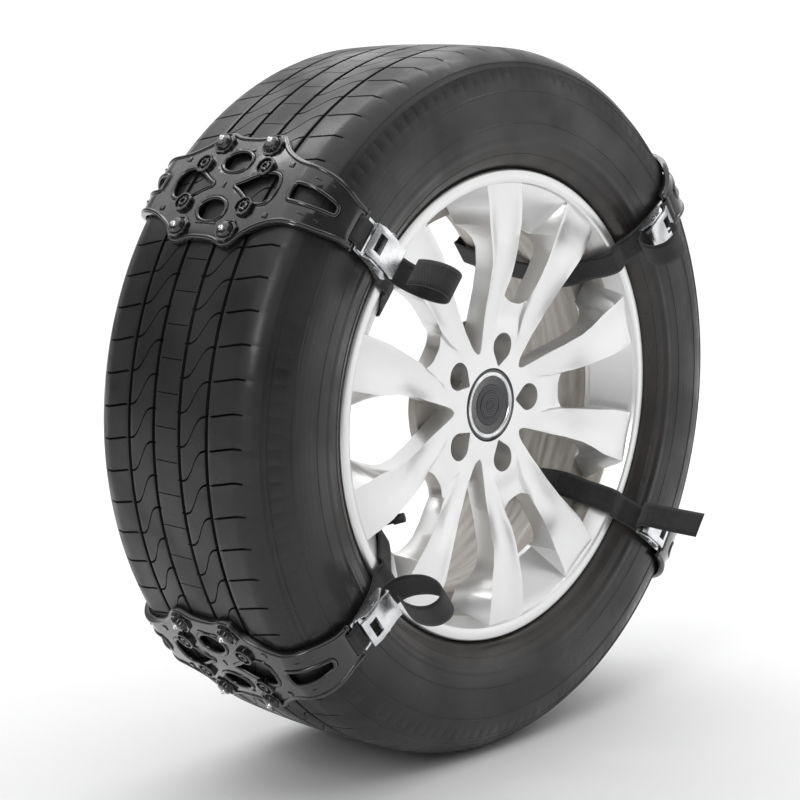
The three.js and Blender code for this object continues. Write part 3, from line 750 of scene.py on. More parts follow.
def revolved(profile: Sequence[Point], steps: int, closed: bool = True) -> bmesh.types.BMesh:
    """Turns an outline about the axle.

    Args:
        profile: points as (axial, radius).
        steps: facets round the axle.
        closed: whether the outline joins back to its first point.

    Returns:
        The mesh, in millimetres.
    """
    bm = bmesh.new()
    verts = [bm.verts.new((radius, axial, 0)) for axial, radius in profile]
    edges = [bm.edges.new(pair) for pair in zip(verts, verts[1:])]
    if closed:
        edges.append(bm.edges.new((verts[-1], verts[0])))
    bmesh.ops.spin(bm, geom=[*verts, *edges], cent=(0, 0, 0), axis=(0, 1, 0), angle=2 * math.pi,
                   steps=steps, use_merge=True)
    bmesh.ops.remove_doubles(bm, verts=bm.verts, dist=0.001)
    bmesh.ops.recalc_face_normals(bm, faces=bm.faces)
    return bm


def bevel_sharp(bm: bmesh.types.BMesh, width: float, angle: float = 35.0, segments: int = 2,
                keep: Callable[[bmesh.types.BMEdge], bool] | None = None) -> None:
    """Rounds a mesh's sharp edges.

    Args:
        bm: the mesh.
        width: how wide the rounding is.
        angle: edges that turn more than this many degrees are rounded.
        segments: steps across the rounding.
        keep: says whether an edge is one to round, or None for all.
    """
    limit = math.radians(angle)
    edges = [e for e in bm.edges if e.is_manifold and e.calc_face_angle(0) > limit]
    edges = [e for e in edges if keep is None or keep(e)]
    bmesh.ops.bevel(bm, geom=edges, offset=width, offset_type="OFFSET", affect="EDGES",
                    segments=segments, profile=0.5, material=-1, clamp_overlap=True)


def fine_copy(wheel: Wheel, node: str, material: bpy.types.Material, slot: Slot, width: float,
              body: str | None = None, name: str | None = None) -> bpy.types.Object:
    """A node's shape with its facets merged and its edges rounded, standing for that node.

    Args:
        wheel: the shared frame.
        node: the model's node.
        material: its finish.
        slot: its slot.
        width: how wide the rounding is, in millimetres.
        body: the body that it rides on.
        name: the piece's name, or None for one made from the node's.

    Returns:
        The new object.
    """
    bm = bmesh.new()
    bm.from_mesh(wheel.frame["nodes"][node].data)
    bmesh.ops.remove_doubles(bm, verts=bm.verts, dist=1e-6)
    bmesh.ops.dissolve_limit(bm, angle_limit=math.radians(1), verts=bm.verts, edges=bm.edges)
    bevel_sharp(bm, width * MM, 28.0, 2)
    return wheel.piece(name or f"{node}_fine", bm, material, slot, (node,), body, 30.0)


# ---- Tyre -----------------------------------------------------------------------------


@dataclass
class Tyre:
    """The tyre: grooves and sipes in the tread, rings and ticks on the sidewall."""

    wheel: Wheel
    pitches: int = 72
    groove_half: float = 1.9
    groove_depth: float = 7.0
    grooves: tuple[float, float] = (16.0, 48.5)
    sipe_depth: float = 4.0
    shoulder_sipe_end: float = 87.0
    rings: tuple[tuple[float, float, float], ...] = (
        (317.5, 0.9, 0.6), (313.0, 0.9, 0.6), (291.0, 0.8, 0.5), (262.0, 0.8, 0.5), (246.0, 3.0, 0.6),
        (234.0, 0.9, 0.5))
    columns_per_pitch: int = 8

    def crown_rows(self) -> list[Point]:
        """Half the tread's outline, with its grooves, as (axial, radius).

        Returns:
            The outline's points.
        """
        rows = [(y, 0.0) for y in (0.0, 4.5, 9.0, 12.6)]
        for groove in self.grooves:
            for side, depth in ((-1.0, 0.25), (-0.8, 6.3), (0.0, self.groove_depth), (0.8, 6.3),
                                (1.0, 0.25)):
                rows.append((groove + side * self.groove_half, depth))
            first = groove + self.groove_half + 0.8
            last = self.grooves[1] - self.groove_half - 0.8 if groove < 20 else self.wheel.half_tread
            steps = 10 if groove < 20 else 7
            rows.extend((first + (last - first) * i / steps, 0.0) for i in range(steps + 1))
        return [(y, self.wheel.crown(y) - depth) for y, depth in rows]

    def side_rows(self) -> list[Point]:
        """Half the sidewall's outline, with raised rings, as (axial, radius).

        Returns:
            The outline's points.
        """
        start = self.wheel.half_tread + 2.5
        end = self.wheel.length_at(self.wheel.flange_radius + 4)
        stations = {round(start + (end - start) * i / 20, 2): 0.0 for i in range(21)}
        for radius, half, height in self.rings:
            middle = self.wheel.length_at(radius)
            stations = {at: rise for at, rise in stations.items() if abs(at - middle) > half + 0.6}
            for share, level in ((-1.0, 0.0), (-0.6, 1.0), (0.6, 1.0), (1.0, 0.0)):
                stations[round(middle + half * share, 2)] = height * level
        return [self.wheel.on_tyre(at, rise - 0.6) for at, rise in sorted(stations.items())]

    def profile(self) -> list[Point]:
        """The whole closed outline, as (axial, radius).

        Returns:
            The outline's points.
        """
        wheel = self.wheel
        heel = wheel.half_rim - 0.3
        seat = wheel.bead_seat_radius + 0.3
        inner = [(heel + 9.5, wheel.flange_radius + 1.2), (heel, wheel.flange_radius + 1.0),
                 (heel, seat + 2.5),
                 (heel - 2.5, seat), (heel - 18.0, seat), (heel - 13.0, wheel.bead_seat_radius + 14.0),
                 (wheel.half_section - 9.5, wheel.widest_radius),
                 (wheel.half_tread - 8.0, wheel.radius - 16.0)]
        half = [*self.crown_rows(), *self.side_rows(), *inner]
        other = [(-y, radius) for y, radius in half[:0:-1]]
        return [*half, (0.0, wheel.radius - 13.0), *other]

    def shift(self, y: float) -> float:
        """How far a sipe has run round the tyre, in pitches, at a place across it.

        Args:
            y: the place along the axle.

        Returns:
            The run in pitches, with the sign of the place.
        """
        start = self.grooves[0] + self.groove_half
        end = self.grooves[1] - self.groove_half
        t = min(1.0, max(0.0, (abs(y) - start) / (end - start)))
        curved = t - 0.13 * math.sin(2 * math.pi * t)
        slant = 0.2 * max(0.0, abs(y) - self.grooves[1] - self.groove_half) / 27.0
        return math.copysign(curved + min(slant, 0.2), y)

    def sipe(self, y: float, radius: float, group: int) -> tuple[float, float]:
        """A sipe's width and depth at a place across the tyre, for one half pitch.

        Args:
            y: the place along the axle.
            radius: the outline's radius there.
            group: which half pitch round the tyre.

        Returns:
            The width and depth in millimetres. The depth is 0 where there is none.
        """
        across = abs(y)
        top = self.wheel.crown(y) - 0.3
        if across < self.wheel.half_tread and radius < top:
            return 1.0, 0.0
        if across < self.grooves[0] - self.groove_half:
            return 0.9, 1.6 * (group % 2)
        if across < self.grooves[1] - self.groove_half:
            return 2.0, self.sipe_depth * (1 - group % 2)
        if self.grooves[1] + self.groove_half + 3 < across < self.shoulder_sipe_end and radius > 300:
            fade = 1 - smoothstep(across, self.wheel.half_tread - 2, self.shoulder_sipe_end)
            return 2.1, self.sipe_depth * (1 - group % 2) * max(fade, 0.15)
        if radius > self.wheel.widest_radius and 299.0 < radius < 310.0 and across > self.shoulder_sipe_end:
            return 1.8, 0.5
        return 1.0, 0.0

    def build(self, palette: Palette) -> None:
        """Turns the outline, cuts the sipes and flattens the tyre where it stands.

        Args:
            palette: the finishes.
        """
        steps = self.pitches * self.columns_per_pitch
        bm = revolved(self.profile(), steps)
        step = 2 * math.pi / steps
        half_pitch = step * 4
        for vert in bm.verts:
            x, y, z = vert.co
            radius = math.hypot(x, z)
            column = round(math.atan2(z, x) / step)
            group, role = divmod(column, 4)
            width, depth = self.sipe(y, radius, group)
            edge = width / 2 / self.wheel.radius
            angle = group * half_pitch + (-edge, 0.0, edge, half_pitch / 2)[role]
            angle += self.shift(y) * 2 * half_pitch
            if radius > self.wheel.flange_radius and role == 1:
                radius -= depth
            vert.co = (radius * math.cos(angle), y, radius * math.sin(angle))
            vert.co.z = max(vert.co.z, -self.wheel.ground)
        self.wheel.place(bm)
        self.wheel.piece("tyre_carcass", bm, palette.tyre, Slot.TYRE, ("tyre",), sharp=40.0)


# ---- Wheel: barrel, disc, cap, valve ---------------------------------------------------


@dataclass
class Rim:
    """The barrel with its rolled flanges, and the ten-spoke disc with its hub."""

    wheel: Wheel
    lug_count: int = 5
    first_lug: float = 1.0
    lug_circle: float = 56.0
    pocket_radius: float = 13.0
    pocket_point: float = 19.5
    pocket_depth: float = 27.0
    lug_hole_radius: float = 7.4
    hub_face: float = -78.0
    hub_bore: float = 28.5
    hub_seat: float = 74.0
    web_inner: float = 172.0
    web_depth: float = 30.0
    disc_back: float = -54.0
    ridge_width: float = 1.2
    scoop: float = 2.6
    face_cells: int = 8
    web_cells: int = 4
    rows: tuple[float, ...] = (34.6, 38, 43, 48, 52.0, 53.5, 56, 59, 64, 70, 76, 82, 88, 93, 98, 104,
                               110, 118,
                               126, 134, 142, 150, 158, 166, 171.9, 172.1, 177, 184, 191, 198, 204, 208.6)
    window_end: float = 98.0
    flare: float = 7.0

    def flange(self) -> list[Point]:
        """The street flange's rounded edge, from the bead seat to the lip.

        Returns:
            The edge's points, as (axial, radius).
        """
        wheel = self.wheel
        face = wheel.flange_face
        top = wheel.flange_radius
        rolled = [(-wheel.half_rim, wheel.bead_seat_radius + 1.5), (-wheel.half_rim, top - 3.0),
                  (-wheel.half_rim - 1.0, top - 0.8), (-wheel.half_rim - 3.0, top), (-face + 3.5, top),
                  (-face + 1.6, top - 0.5), (-face + 0.5, top - 1.6), (-face, top - 3.2)]
        lip = [(-face, top - 8.0), (-face + 0.3, wheel.lip_radius + 3.0),
               (-face + 1.4, wheel.lip_radius + 1.0), (-face + 4.0, wheel.lip_radius)]
        return [*rolled, *lip]

    def barrel(self, palette: Palette) -> None:
        """Turns the barrel.

        Args:
            palette: the finishes.
        """
        wheel = self.wheel
        rim, seat, well = wheel.half_rim, wheel.bead_seat_radius, wheel.well_radius
        street = self.flange()
        inboard = [(-y, radius) for y, radius in street]
        outside = [(-rim + 1.5, seat), (-rim + 20, seat), (-rim + 21.5, seat + 0.8), (-rim + 23, seat),
                   (-rim + 26, seat - 1.5), (-rim + 34, well + 1.5), (-rim + 37, well), (-rim + 61, well),
                   (-rim + 64, well + 0.8), (-rim + 90, seat - 5), (rim - 25, seat), (rim - 1.5, seat)]
        inside = [(rim - 4, seat - 4.6), (-rim + 92, seat - 10), (-rim + 63, well - 5),
                  (-rim + 33, well - 5),
                  (-rim + 29, well - 3.5), (-rim + 24, seat - 7.5), (-rim + 21, seat - 6.2),
                  (-rim + 4, seat - 4)]
        profile = [*street[::-1], *outside, *inboard, *inside]
        bm = revolved(profile, 192)
        self.wheel.place(bm)
        barrel = self.wheel.piece("barrel", bm, palette.silver, Slot.ALLOY, ("rim_barrel",), sharp=25.0)
        barrel.data.materials.append(palette.barrel)
        inner_edge = (self.wheel.offset - wheel.flange_face + 16) * MM
        for face in barrel.data.polygons:
            if face.center.y > inner_edge:
                face.material_index = 1

    @property
    def columns(self) -> int:
        """The sector grid's cells from the large window to the lug's line.

        Returns:
            How many cells.
        """
        return self.face_cells + 1 + self.web_cells

    def window_edges(self, radius: float) -> tuple[float, float]:
        """The spoke's edges at a radius, in degrees from the middle of its lug.

        Args:
            radius: from the axle.

        Returns:
            The ridge beside the small window, and the edge beside the large one.
        """
        large = ramp(radius, ((52.0, 36.0), (53.5, 33.6), (56.0, 31.6), (62.0, 29.4), (80.0, 26.6),
                              (110.0, 24.0), (134.0, 23.2), (150.0, 23.6), (170.0, 24.4), (207.0, 23.8)))
        small = ramp(radius, ((52.0, 20.0), (66.0, 17.5), (76.0, 14.0), (88.0, 11.2), (98.0, 9.8),
                              (113.0, 9.4), (150.0, 9.4), (172.0, 9.2), (207.0, 10.0)))
        return small, large

    def front(self, radius: float, share: float) -> float:
        """The face's place along the axle, share 0 at the large window and 1 at the small one.

        Args:
            radius: from the axle.
            share: the place between the two windows.

        Returns:
            The place along the axle.
        """
        lean = ramp(radius, ((60.0, 0.0), (84.0, -3.0), (108.0, -8.0), (134.0, -13.5), (150.0, -15.5),
                             (172.0, -16.5), (190.0, -16.2), (207.0, -14.5)))
        scoop = self.scoop * smoothstep(radius, 70.0, 120.0) * (1 - smoothstep(radius, 170.0, 206.0) * 0.5)
        return self.hub_face + lean + scoop * (1 - 4 * (share - 0.5) ** 2)

    def web(self, radius: float) -> float:
        """The sunk web's place along the axle, between a pair of spokes at the rim.

        Args:
            radius: from the axle.

        Returns:
            The place along the axle.
        """
        t = (radius - self.web_inner) / (self.wheel.lip_radius - self.web_inner)
        return self.front(radius, 1.0) + self.web_depth * (1 - min(1.0, max(0.0, t)))

    def sector(self) -> bmesh.types.BMesh:
        """Half a spoke pair's front face, from its lug's line to the next large window's.

        Returns:
            The open mesh.
        """
        rows, columns, face_cells, web_cells = self.rows, self.columns, self.face_cells, self.web_cells
        bm = bmesh.new()
        bmesh.ops.create_grid(bm, x_segments=columns, y_segments=len(rows) - 1, size=1.0)
        hole = [f for f in bm.faces if self.in_small_window(f)]
        bmesh.ops.delete(bm, geom=hole, context="FACES")
        for vert in bm.verts:
            column = round((vert.co.x + 1) / 2 * columns)
            radius = rows[round((vert.co.y + 1) / 2 * (len(rows) - 1))]
            small, large = self.window_edges(radius)
            closed = radius <= self.window_end
            if column <= face_cells:
                share = column / face_cells
                angle = large + (small - large) * share
                y = self.front(radius, share)
            else:
                inner = small - math.degrees(1.4 / radius)
                angle = inner * (1 - (column - face_cells - 1) / web_cells)
                recess = 3.0 * smoothstep(radius, 66.0, 92.0)
                y = self.front(radius, 1.0) + recess if closed else self.web(radius)
            if column >= face_cells:
                near_end = 1 - smoothstep(abs(radius - self.window_end), 0.0, 12.0 if closed else 26.0)
                radius += 8.0 * near_end * (angle / small) ** 3
            vert.co = (radius * math.cos(math.radians(angle)), y, radius * math.sin(math.radians(angle)))
        return bm

    def in_small_window(self, face: bmesh.types.BMFace) -> bool:
        """Whether a face of the sector's grid lies in the small window.

        Args:
            face: a face of the flat grid.

        Returns:
            True for a face to delete.
        """
        columns = [round((v.co.x + 1) / 2 * self.columns) for v in face.verts]
        rows = [self.rows[round((v.co.y + 1) / 2 * (len(self.rows) - 1))] for v in face.verts]
        outside = min(columns) < self.face_cells or min(rows) < self.window_end
        return not outside and max(rows) < self.web_inner

    def disc_sheet(self) -> bmesh.types.BMesh:
        """The whole front face, from mirrored and turned copies of the sector.

        Returns:
            The open mesh.
        """
        bm = self.sector()
        whole = bmesh.ops.duplicate(bm, geom=[*bm.verts, *bm.edges, *bm.faces])["geom"]
        mirrored = [v for v in whole if isinstance(v, bmesh.types.BMVert)]
        bmesh.ops.scale(bm, vec=(1, 1, -1), verts=mirrored)
        bmesh.ops.rotate(bm, cent=(0, 0, 0), matrix=Matrix.Rotation(math.radians(-self.first_lug), 3, "Y"),
                         verts=bm.verts)
        pair = [*bm.verts, *bm.edges, *bm.faces]
        for lug in range(1, self.lug_count):
            copy = bmesh.ops.duplicate(bm, geom=pair)["geom"]
            verts = [v for v in copy if isinstance(v, bmesh.types.BMVert)]
            turn = Matrix.Rotation(2 * math.pi * lug / self.lug_count, 3, "Y")
            bmesh.ops.rotate(bm, cent=(0, 0, 0), matrix=turn, verts=verts)
        bmesh.ops.remove_doubles(bm, verts=bm.verts, dist=0.05)
        bmesh.ops.recalc_face_normals(bm, faces=bm.faces)
        return bm

    def back(self, front: Vector) -> Vector:
        """The point behind one of the disc's front. Beside a large window it flares at the rim.

        Args:
            front: the point on the face.

        Returns:
            The point behind it.
        """
        radius = math.hypot(front.x, front.z)
        level = ramp(radius, ((62.0, self.disc_back), (100.0, -64.0), (134.0, -71.0), (150.0, -72.5),
                              (164.0, -70.0), (172.0, -59.0), (197.0, -62.0), (209.0, -66.0)))
        step = 360 / self.lug_count
        angle = math.degrees(math.atan2(front.z, front.x)) - self.first_lug
        aside = (angle + step / 2) % step - step / 2
        _, large = self.window_edges(radius)
        if abs(aside) > large - 0.3:
            angle += math.copysign(self.flare * smoothstep(radius, 150.0, 200.0), aside)
        turn = math.radians(angle + self.first_lug)
        return Vector((radius * math.cos(turn), max(level, front.y + 6.0), radius * math.sin(turn)))

    def disc(self, palette: Palette) -> None:
        """Gives the face its depth, cuts the pockets and bolt holes, and rounds the ridges.

        Args:
            palette: the finishes.
        """
        bm = self.disc_sheet()
        made = bmesh.ops.extrude_face_region(bm, geom=list(bm.faces), use_keep_orig=True)["geom"]
        for vert in (v for v in made if isinstance(v, bmesh.types.BMVert)):
            vert.co = self.back(vert.co.copy())
        bmesh.ops.remove_doubles(bm, verts=bm.verts, dist=0.01)
        bmesh.ops.recalc_face_normals(bm, faces=bm.faces)
        bevel_sharp(bm, self.ridge_width, 38.0, 2, self.is_ridge)
        disc = self.loose_object("disc_blank", bm)
        for cutter in (self.pockets(), self.bolt_holes()):
            self.cut(disc, cutter)
        cut = bmesh.new()
        cut.from_mesh(disc.data)
        bpy.data.objects.remove(disc)
        self.wheel.place(cut)
        spokes = [f"spoke_{i:02d}" for i in range(1, 11)]
        self.wheel.piece("wheel_disc", cut, palette.silver, Slot.ALLOY, spokes, sharp=24.0)

    def is_ridge(self, edge: bmesh.types.BMEdge) -> bool:
        """Whether an edge is one of the face's ridges, and not at the rim or the back.

        Args:
            edge: a sharp edge of the disc.

        Returns:
            True for an edge to round.
        """
        middle = (edge.verts[0].co + edge.verts[1].co) / 2
        radius = math.hypot(middle.x, middle.z)
        return 36.0 < radius < 206.0 and middle.y < self.disc_back - 3.0

    def loose_object(self, name: str, bm: bmesh.types.BMesh) -> bpy.types.Object:
        """A bare object for a boolean cut.

        Args:
            name: the object's name.
            bm: its mesh, which is freed.

        Returns:
            The new object.
        """
        mesh = bpy.data.meshes.new(name)
        bm.to_mesh(mesh)
        bm.free()
        obj = bpy.data.objects.new(name, mesh)
        bpy.context.scene.collection.objects.link(obj)
        return obj

    def cut(self, target: bpy.types.Object, cutter: bpy.types.Object) -> None:
        """Cuts one loose object from another and removes the cutter.

        Args:
            target: the object that is cut.
            cutter: the object that cuts it.
        """
        modifier = target.modifiers.new("cut", "BOOLEAN")
        modifier.operation = "DIFFERENCE"
        modifier.solver = "EXACT"
        modifier.object = cutter
        depsgraph = bpy.context.evaluated_depsgraph_get()
        mesh = bpy.data.meshes.new_from_object(target.evaluated_get(depsgraph))
        target.modifiers.clear()
        target.data = mesh
        bpy.data.objects.remove(cutter)

    def lug_matrices(self) -> list[Matrix]:
        """A turn about the axle for every lug.

        Returns:
            One matrix for each lug.
        """
        step = 360 / self.lug_count
        return [Matrix.Rotation(-math.radians(self.first_lug + step * i), 4, "Y")
                for i in range(self.lug_count)]

    def prisms(self, name: str, outline: Sequence[Point], low: float, high: float) -> bpy.types.Object:
        """The same prism along the axle at every lug, from an outline in X and Z.

        Args:
            name: the object's name.
            outline: points in X and Z.
            low: the start along the axle.
            high: the end along the axle.

        Returns:
            The new object.
        """
        bm = bmesh.new()
        for turn in self.lug_matrices():
            verts = [bm.verts.new(turn @ Vector((x, low, z))) for x, z in outline]
            face = bm.faces.new(verts)
            made = bmesh.ops.extrude_face_region(bm, geom=[face])["geom"]
            top = [v for v in made if isinstance(v, bmesh.types.BMVert)]
            bmesh.ops.translate(bm, vec=(0, high - low, 0), verts=top)
        bmesh.ops.recalc_face_normals(bm, faces=bm.faces)
        return self.loose_object(name, bm)

    def pockets(self) -> bpy.types.Object:
        """Teardrop pockets whose points face the cap.

        Returns:
            The cutter.
        """
        reach = math.acos(self.pocket_radius / self.pocket_point)
        outline = [(self.lug_circle - self.pocket_point + 0.8, -0.8),
                   (self.lug_circle - self.pocket_point + 0.8, 0.8)]
        for i in range(25):
            turn = math.pi - reach - (2 * math.pi - 2 * reach) * i / 24
            outline.append((self.lug_circle + self.pocket_radius * math.cos(turn),
                            self.pocket_radius * math.sin(turn)))
        return self.prisms("pocket_cutter", outline, -110.0, self.hub_face + self.pocket_depth - 1.5)

    def bolt_holes(self) -> bpy.types.Object:
        """Round holes through the pockets' floors.

        Returns:
            The cutter.
        """
        outline = [(self.lug_circle + self.lug_hole_radius * math.cos(math.radians(15 * i)),
                    self.lug_hole_radius * math.sin(math.radians(15 * i))) for i in range(24)]
        return self.prisms("bolt_hole_cutter", outline, -100.0, -20.0)

    def hub(self, palette: Palette) -> None:
        """The seat flange behind the disc, with its bore and bolt holes.

        Args:
            palette: the finishes.
        """
        bore, seat = self.hub_bore, self.hub_seat
        profile = [(self.disc_back - 1.0, seat + 4), (self.disc_back + 3, seat + 3.4), (-43.0, seat + 0.6),
                   (-40.6, seat - 0.4), (-40.0, seat - 1.2), (-40.0, bore + 1.0), (-41.0, bore),
                   (-68.0, bore), (-69.0, bore + 1.0), (-69.0, 40.0), (self.disc_back - 1.0, 41.0)]
        blank = self.loose_object("hub_blank", revolved(profile, 96))
        self.cut(blank, self.bolt_holes())
        bm = bmesh.new()
        bm.from_mesh(blank.data)
        bpy.data.objects.remove(blank)
        self.wheel.place(bm)
        self.wheel.piece("hub_seat_flange", bm, palette.barrel, Slot.ALLOY, ("hub",), sharp=24.0)

    def build(self, palette: Palette) -> None:
        """Builds the barrel, the disc and the hub.

        Args:
            palette: the finishes.
        """
        self.barrel(palette)
        self.disc(palette)
        self.hub(palette)


@dataclass
class CentreCap:
    """A dark cap with a bright ring and a plain domed middle."""

    wheel: Wheel
    face: float = -78.5
    radius: float = 34.0

    def build(self, palette: Palette) -> None:
        """Turns the cap, its ring and its dome.

        Args:
            palette: the finishes.
        """
        f, r = self.face, self.radius
        cap = [(f + 1.6, 0.0), (f + 1.6, 25.5), (f + 1.2, 26.5), (f + 1.6, 28.0), (f + 1.2, 29.5),
               (f + 0.6, 31.5), (f + 1.0, 33.2), (f + 2.2, r), (f + 6.5, r), (f + 6.5, 26.5),
               (f + 14.5, 26.5),
               (f + 15.5, 25.8), (f + 15.5, 23.5), (f + 4.5, 23.5), (f + 4.5, 0.0)]
        ring = [(f + 1.8, 27.0), (f + 0.5, 27.6), (f, 29.0), (f + 0.3, 30.6), (f + 1.2, 31.6),
                (f + 2.2, 31.6),
                (f + 2.2, 27.0)]
        dome = [(f + 0.6, 0.0), (f + 0.62, 3.0), (f + 0.2, 3.6), (f + 0.25, 5.2), (f + 0.75, 5.8),
                (f + 0.9, 12.0),
                (f + 0.5, 12.6), (f + 0.55, 14.0), (f + 1.05, 14.6), (f + 1.3, 19.0), (f + 1.9, 20.0),
                (f + 2.4, 20.0), (f + 2.4, 0.0)]
        parts = (("cap_shell", cap, palette.cap, ("centre_cap",)), ("cap_ring", ring, palette.steel, ()),
                 ("cap_dome", dome, palette.dark_chrome, ()))
        for name, profile, material, nodes in parts:
            bm = revolved(profile, 96, closed=name == "cap_ring")
            self.wheel.place(bm)
            self.wheel.piece(name, bm, material, Slot.CAP, nodes, "centre_cap", 22.0)


def build_valve(wheel: Wheel, palette: Palette) -> None:
    """The valve and its cap, from their nodes' shapes.

    Args:
        wheel: the shared frame.
        palette: the finishes.
    """
    fine_copy(wheel, "valve_stem", palette.black, Slot.VALVE, 0.6)
    fine_copy(wheel, "valve_cap", palette.black, Slot.VALVE_CAP, 0.5, "valve_cap", "valve_cap_fine")


# ---- Grip pad -------------------------------------------------------------------------

BOSS_RINGS = ((1.0, -0.3, 1.0), (1.0, 0.30, 1.0), (0.95, 0.42, 1.0), (0.84, 0.42, 0.8), (0.79, 0.26, 0.5),
              (0.68, 0.30, 0.5), (0.62, 0.74, 1.2), (0.56, 0.90, 1.2), (0.44, 0.97, 0.8), (0.30, 1.0, 0.0),
              (0.001, 1.0, 0.0))
ROSETTE_RINGS = ((1.0, -0.5, 0.6), (1.0, 0.72, 0.6), (0.93, 1.0, 0.6), (0.80, 1.0, 0.4), (0.72, 0.30, 0.2),
                 (0.58, 0.25, 1.5), (0.52, 0.85, 2.0), (0.40, 1.0, 2.0), (0.26, 0.95, 1.0),
                 (0.20, 0.45, 0.0),
                 (0.001, 0.45, 0.0))


@dataclass
class GripPad:
    """One moulded pad: a pierced plate over the tread with an ear down each sidewall."""

    wheel: Wheel
    unit: str
    angle: float
    clearance: float = 0.9
    ear_lift: float = 2.1
    thickness: float = 4.5
    ear_thickness: float = 3.6
    reach: float = 141.0
    boss_height: float = 7.0
    boss_radius: float = 11.5
    stud_places: tuple[float, float] = (44.0, 29.5)
    rosette_places: tuple[float, float] = (20.5, 37.0)
    rosette_radius: float = 9.6
    cell: float = 5.0
    edge: float = 0.9

    def outline(self) -> list[Point]:
        """The plate's outline, as (along the tread, along the tyre's outside).

        Returns:
            The closed outline.
        """
        quarter = [(53.0, 0.0), (53.3, 10.0), (54.8, 17.5), (57.2, 24.0), (57.8, 30.0), (56.0, 36.0),
                   (50.5, 42.0),
                   (44.0, 48.5), (38.0, 58.0), (33.5, 68.0), (31.0, 78.0), (29.3, 90.0), (27.5, 104.0),
                   (24.5, 116.0), (21.5, 126.0), (20.5, 134.0), (20.5, self.reach - 1.0), (19.5, self.reach)]
        side = smooth_path(quarter, 2.5)
        right = [*[(x, -s) for x, s in side[::-1]], *side[1:]]
        return [*right, *[(-x, s) for x, s in right[::-1]]]

    def oval(self, centre: Point, half: Point, count: int = 36) -> list[Point]:
        """An oval hole.

        Args:
            centre: its middle.
            half: its half width and half height.
            count: how many points.

        Returns:
            The hole's outline.
        """
        return [(centre[0] + half[0] * math.cos(2 * math.pi * i / count),
                 centre[1] + half[1] * math.sin(2 * math.pi * i / count)) for i in range(count)]

    def holes(self) -> list[list[Point]]:
        """Every hole through the plate.

        Returns:
            The outlines.
        """
        result = []
        lens = [(3.5, 12.5), (7.0, 20.0), (13.0, 30.0), (17.5, 40.0), (18.6, 49.0), (16.5, 57.0),
                (10.0, 62.5),
                (0.0, 64.5)]
        slot = [(11.5, 84.0), (11.0, 92.0), (9.6, 102.0), (7.8, 112.0), (5.6, 116.8), (0.0, 118.5)]
        slot_top = [(0.0, 74.5), (7.0, 75.2), (10.8, 78.5), (11.5, 84.0)]
        for side in (-1, 1):
            half = smooth_path(lens, 2.2)
            result.append([(x, side * s) for x, s in half]
                          + [(-x, side * s) for x, s in half[-2::-1]] + [(0.0, side * 10.5)])
            half = smooth_path([*slot_top, *slot[1:]], 2.2)
            result.append([(x, side * s) for x, s in half] + [(-x, side * s) for x, s in half[-2:0:-1]])
            result.append(self.oval((side * 25.0, 0.0), (14.0, 19.0)))
            slit = self.reach - 5.2
            result.append([(-13.5, side * (slit - 1.7)), (13.5, side * (slit - 1.7)),
                           (13.5, side * (slit + 1.7)),
                           (-13.5, side * (slit + 1.7))])
        return result

    def lift(self, length: float) -> tuple[float, float]:
        """How far the plate stands off the tyre, and its thickness, at a length along it.

        Args:
            length: the place along the tyre's outside.

        Returns:
            The distance off the tyre and the thickness.
        """
        along = smoothstep(abs(length), self.wheel.half_tread, self.reach - 22.0)
        lift = self.clearance + self.ear_lift * along
        return lift, self.thickness + (self.ear_thickness - self.thickness) * along

    def seat(self, x: float, s: float, height: float) -> Vector:
        """A point on the pad in the unit's frame.

        Args:
            x: the place along the tread.
            s: the place along the tyre's outside, negative on the street side.
            height: above the tyre's surface.

        Returns:
            The point, with Z outwards.
        """
        y, radius = self.wheel.on_tyre(abs(s), height)
        return Vector((x, math.copysign(y, s), math.sqrt(max(radius**2 - x**2, 1.0))))

    def flat_plate(self) -> bmesh.types.BMesh:
        """The pierced outline as a flat sheet in X and Y, cut into small cells.

        Returns:
            The flat mesh.
        """
        bm = bmesh.new()
        edges = []
        for loop in (self.outline(), *self.holes()):
            verts = [bm.verts.new((x, s, 0)) for x, s in loop]
            edges.extend(bm.edges.new(pair) for pair in zip(verts, [*verts[1:], verts[0]]))
        bmesh.ops.remove_doubles(bm, verts=bm.verts, dist=0.02)
        bmesh.ops.triangle_fill(bm, edges=list(bm.edges), use_beauty=True, use_dissolve=False)
        for axis, reach in ((0, 60.0), (1, self.reach)):
            normal = (1, 0, 0) if axis == 0 else (0, 1, 0)
            for i in range(-int(reach / self.cell), int(reach / self.cell) + 1):
                centre = [0.0, 0.0, 0.0]
                centre[axis] = i * self.cell + 0.31
                geom = [*bm.verts, *bm.edges, *bm.faces]
                bmesh.ops.bisect_plane(bm, geom=geom, dist=0.02, plane_co=centre, plane_no=normal)
        return bm

    def plate(self, palette: Palette) -> None:
        """Bends the plate round the tyre and gives it its thickness and rounded edges.

        Args:
            palette: the finishes.
        """
        bm = self.flat_plate()
        made = bmesh.ops.extrude_face_region(bm, geom=list(bm.faces), use_keep_orig=True)["geom"]
        top = {v for v in made if isinstance(v, bmesh.types.BMVert)}
        for vert in bm.verts:
            x, s = vert.co.x, vert.co.y
            lift, thickness = self.lift(s)
            vert.co = self.seat(x, s, lift + (thickness if vert in top else 0.0))
        bmesh.ops.recalc_face_normals(bm, faces=bm.faces)
        bevel_sharp(bm, self.edge, 50.0, 2)
        self.wheel.place(bm, self.angle)
        node = f"tread_pad_{self.unit}"
        self.wheel.piece(f"pad_plate_{self.unit}", bm, palette.pad, Slot.PAD, (node,), sharp=34.0)

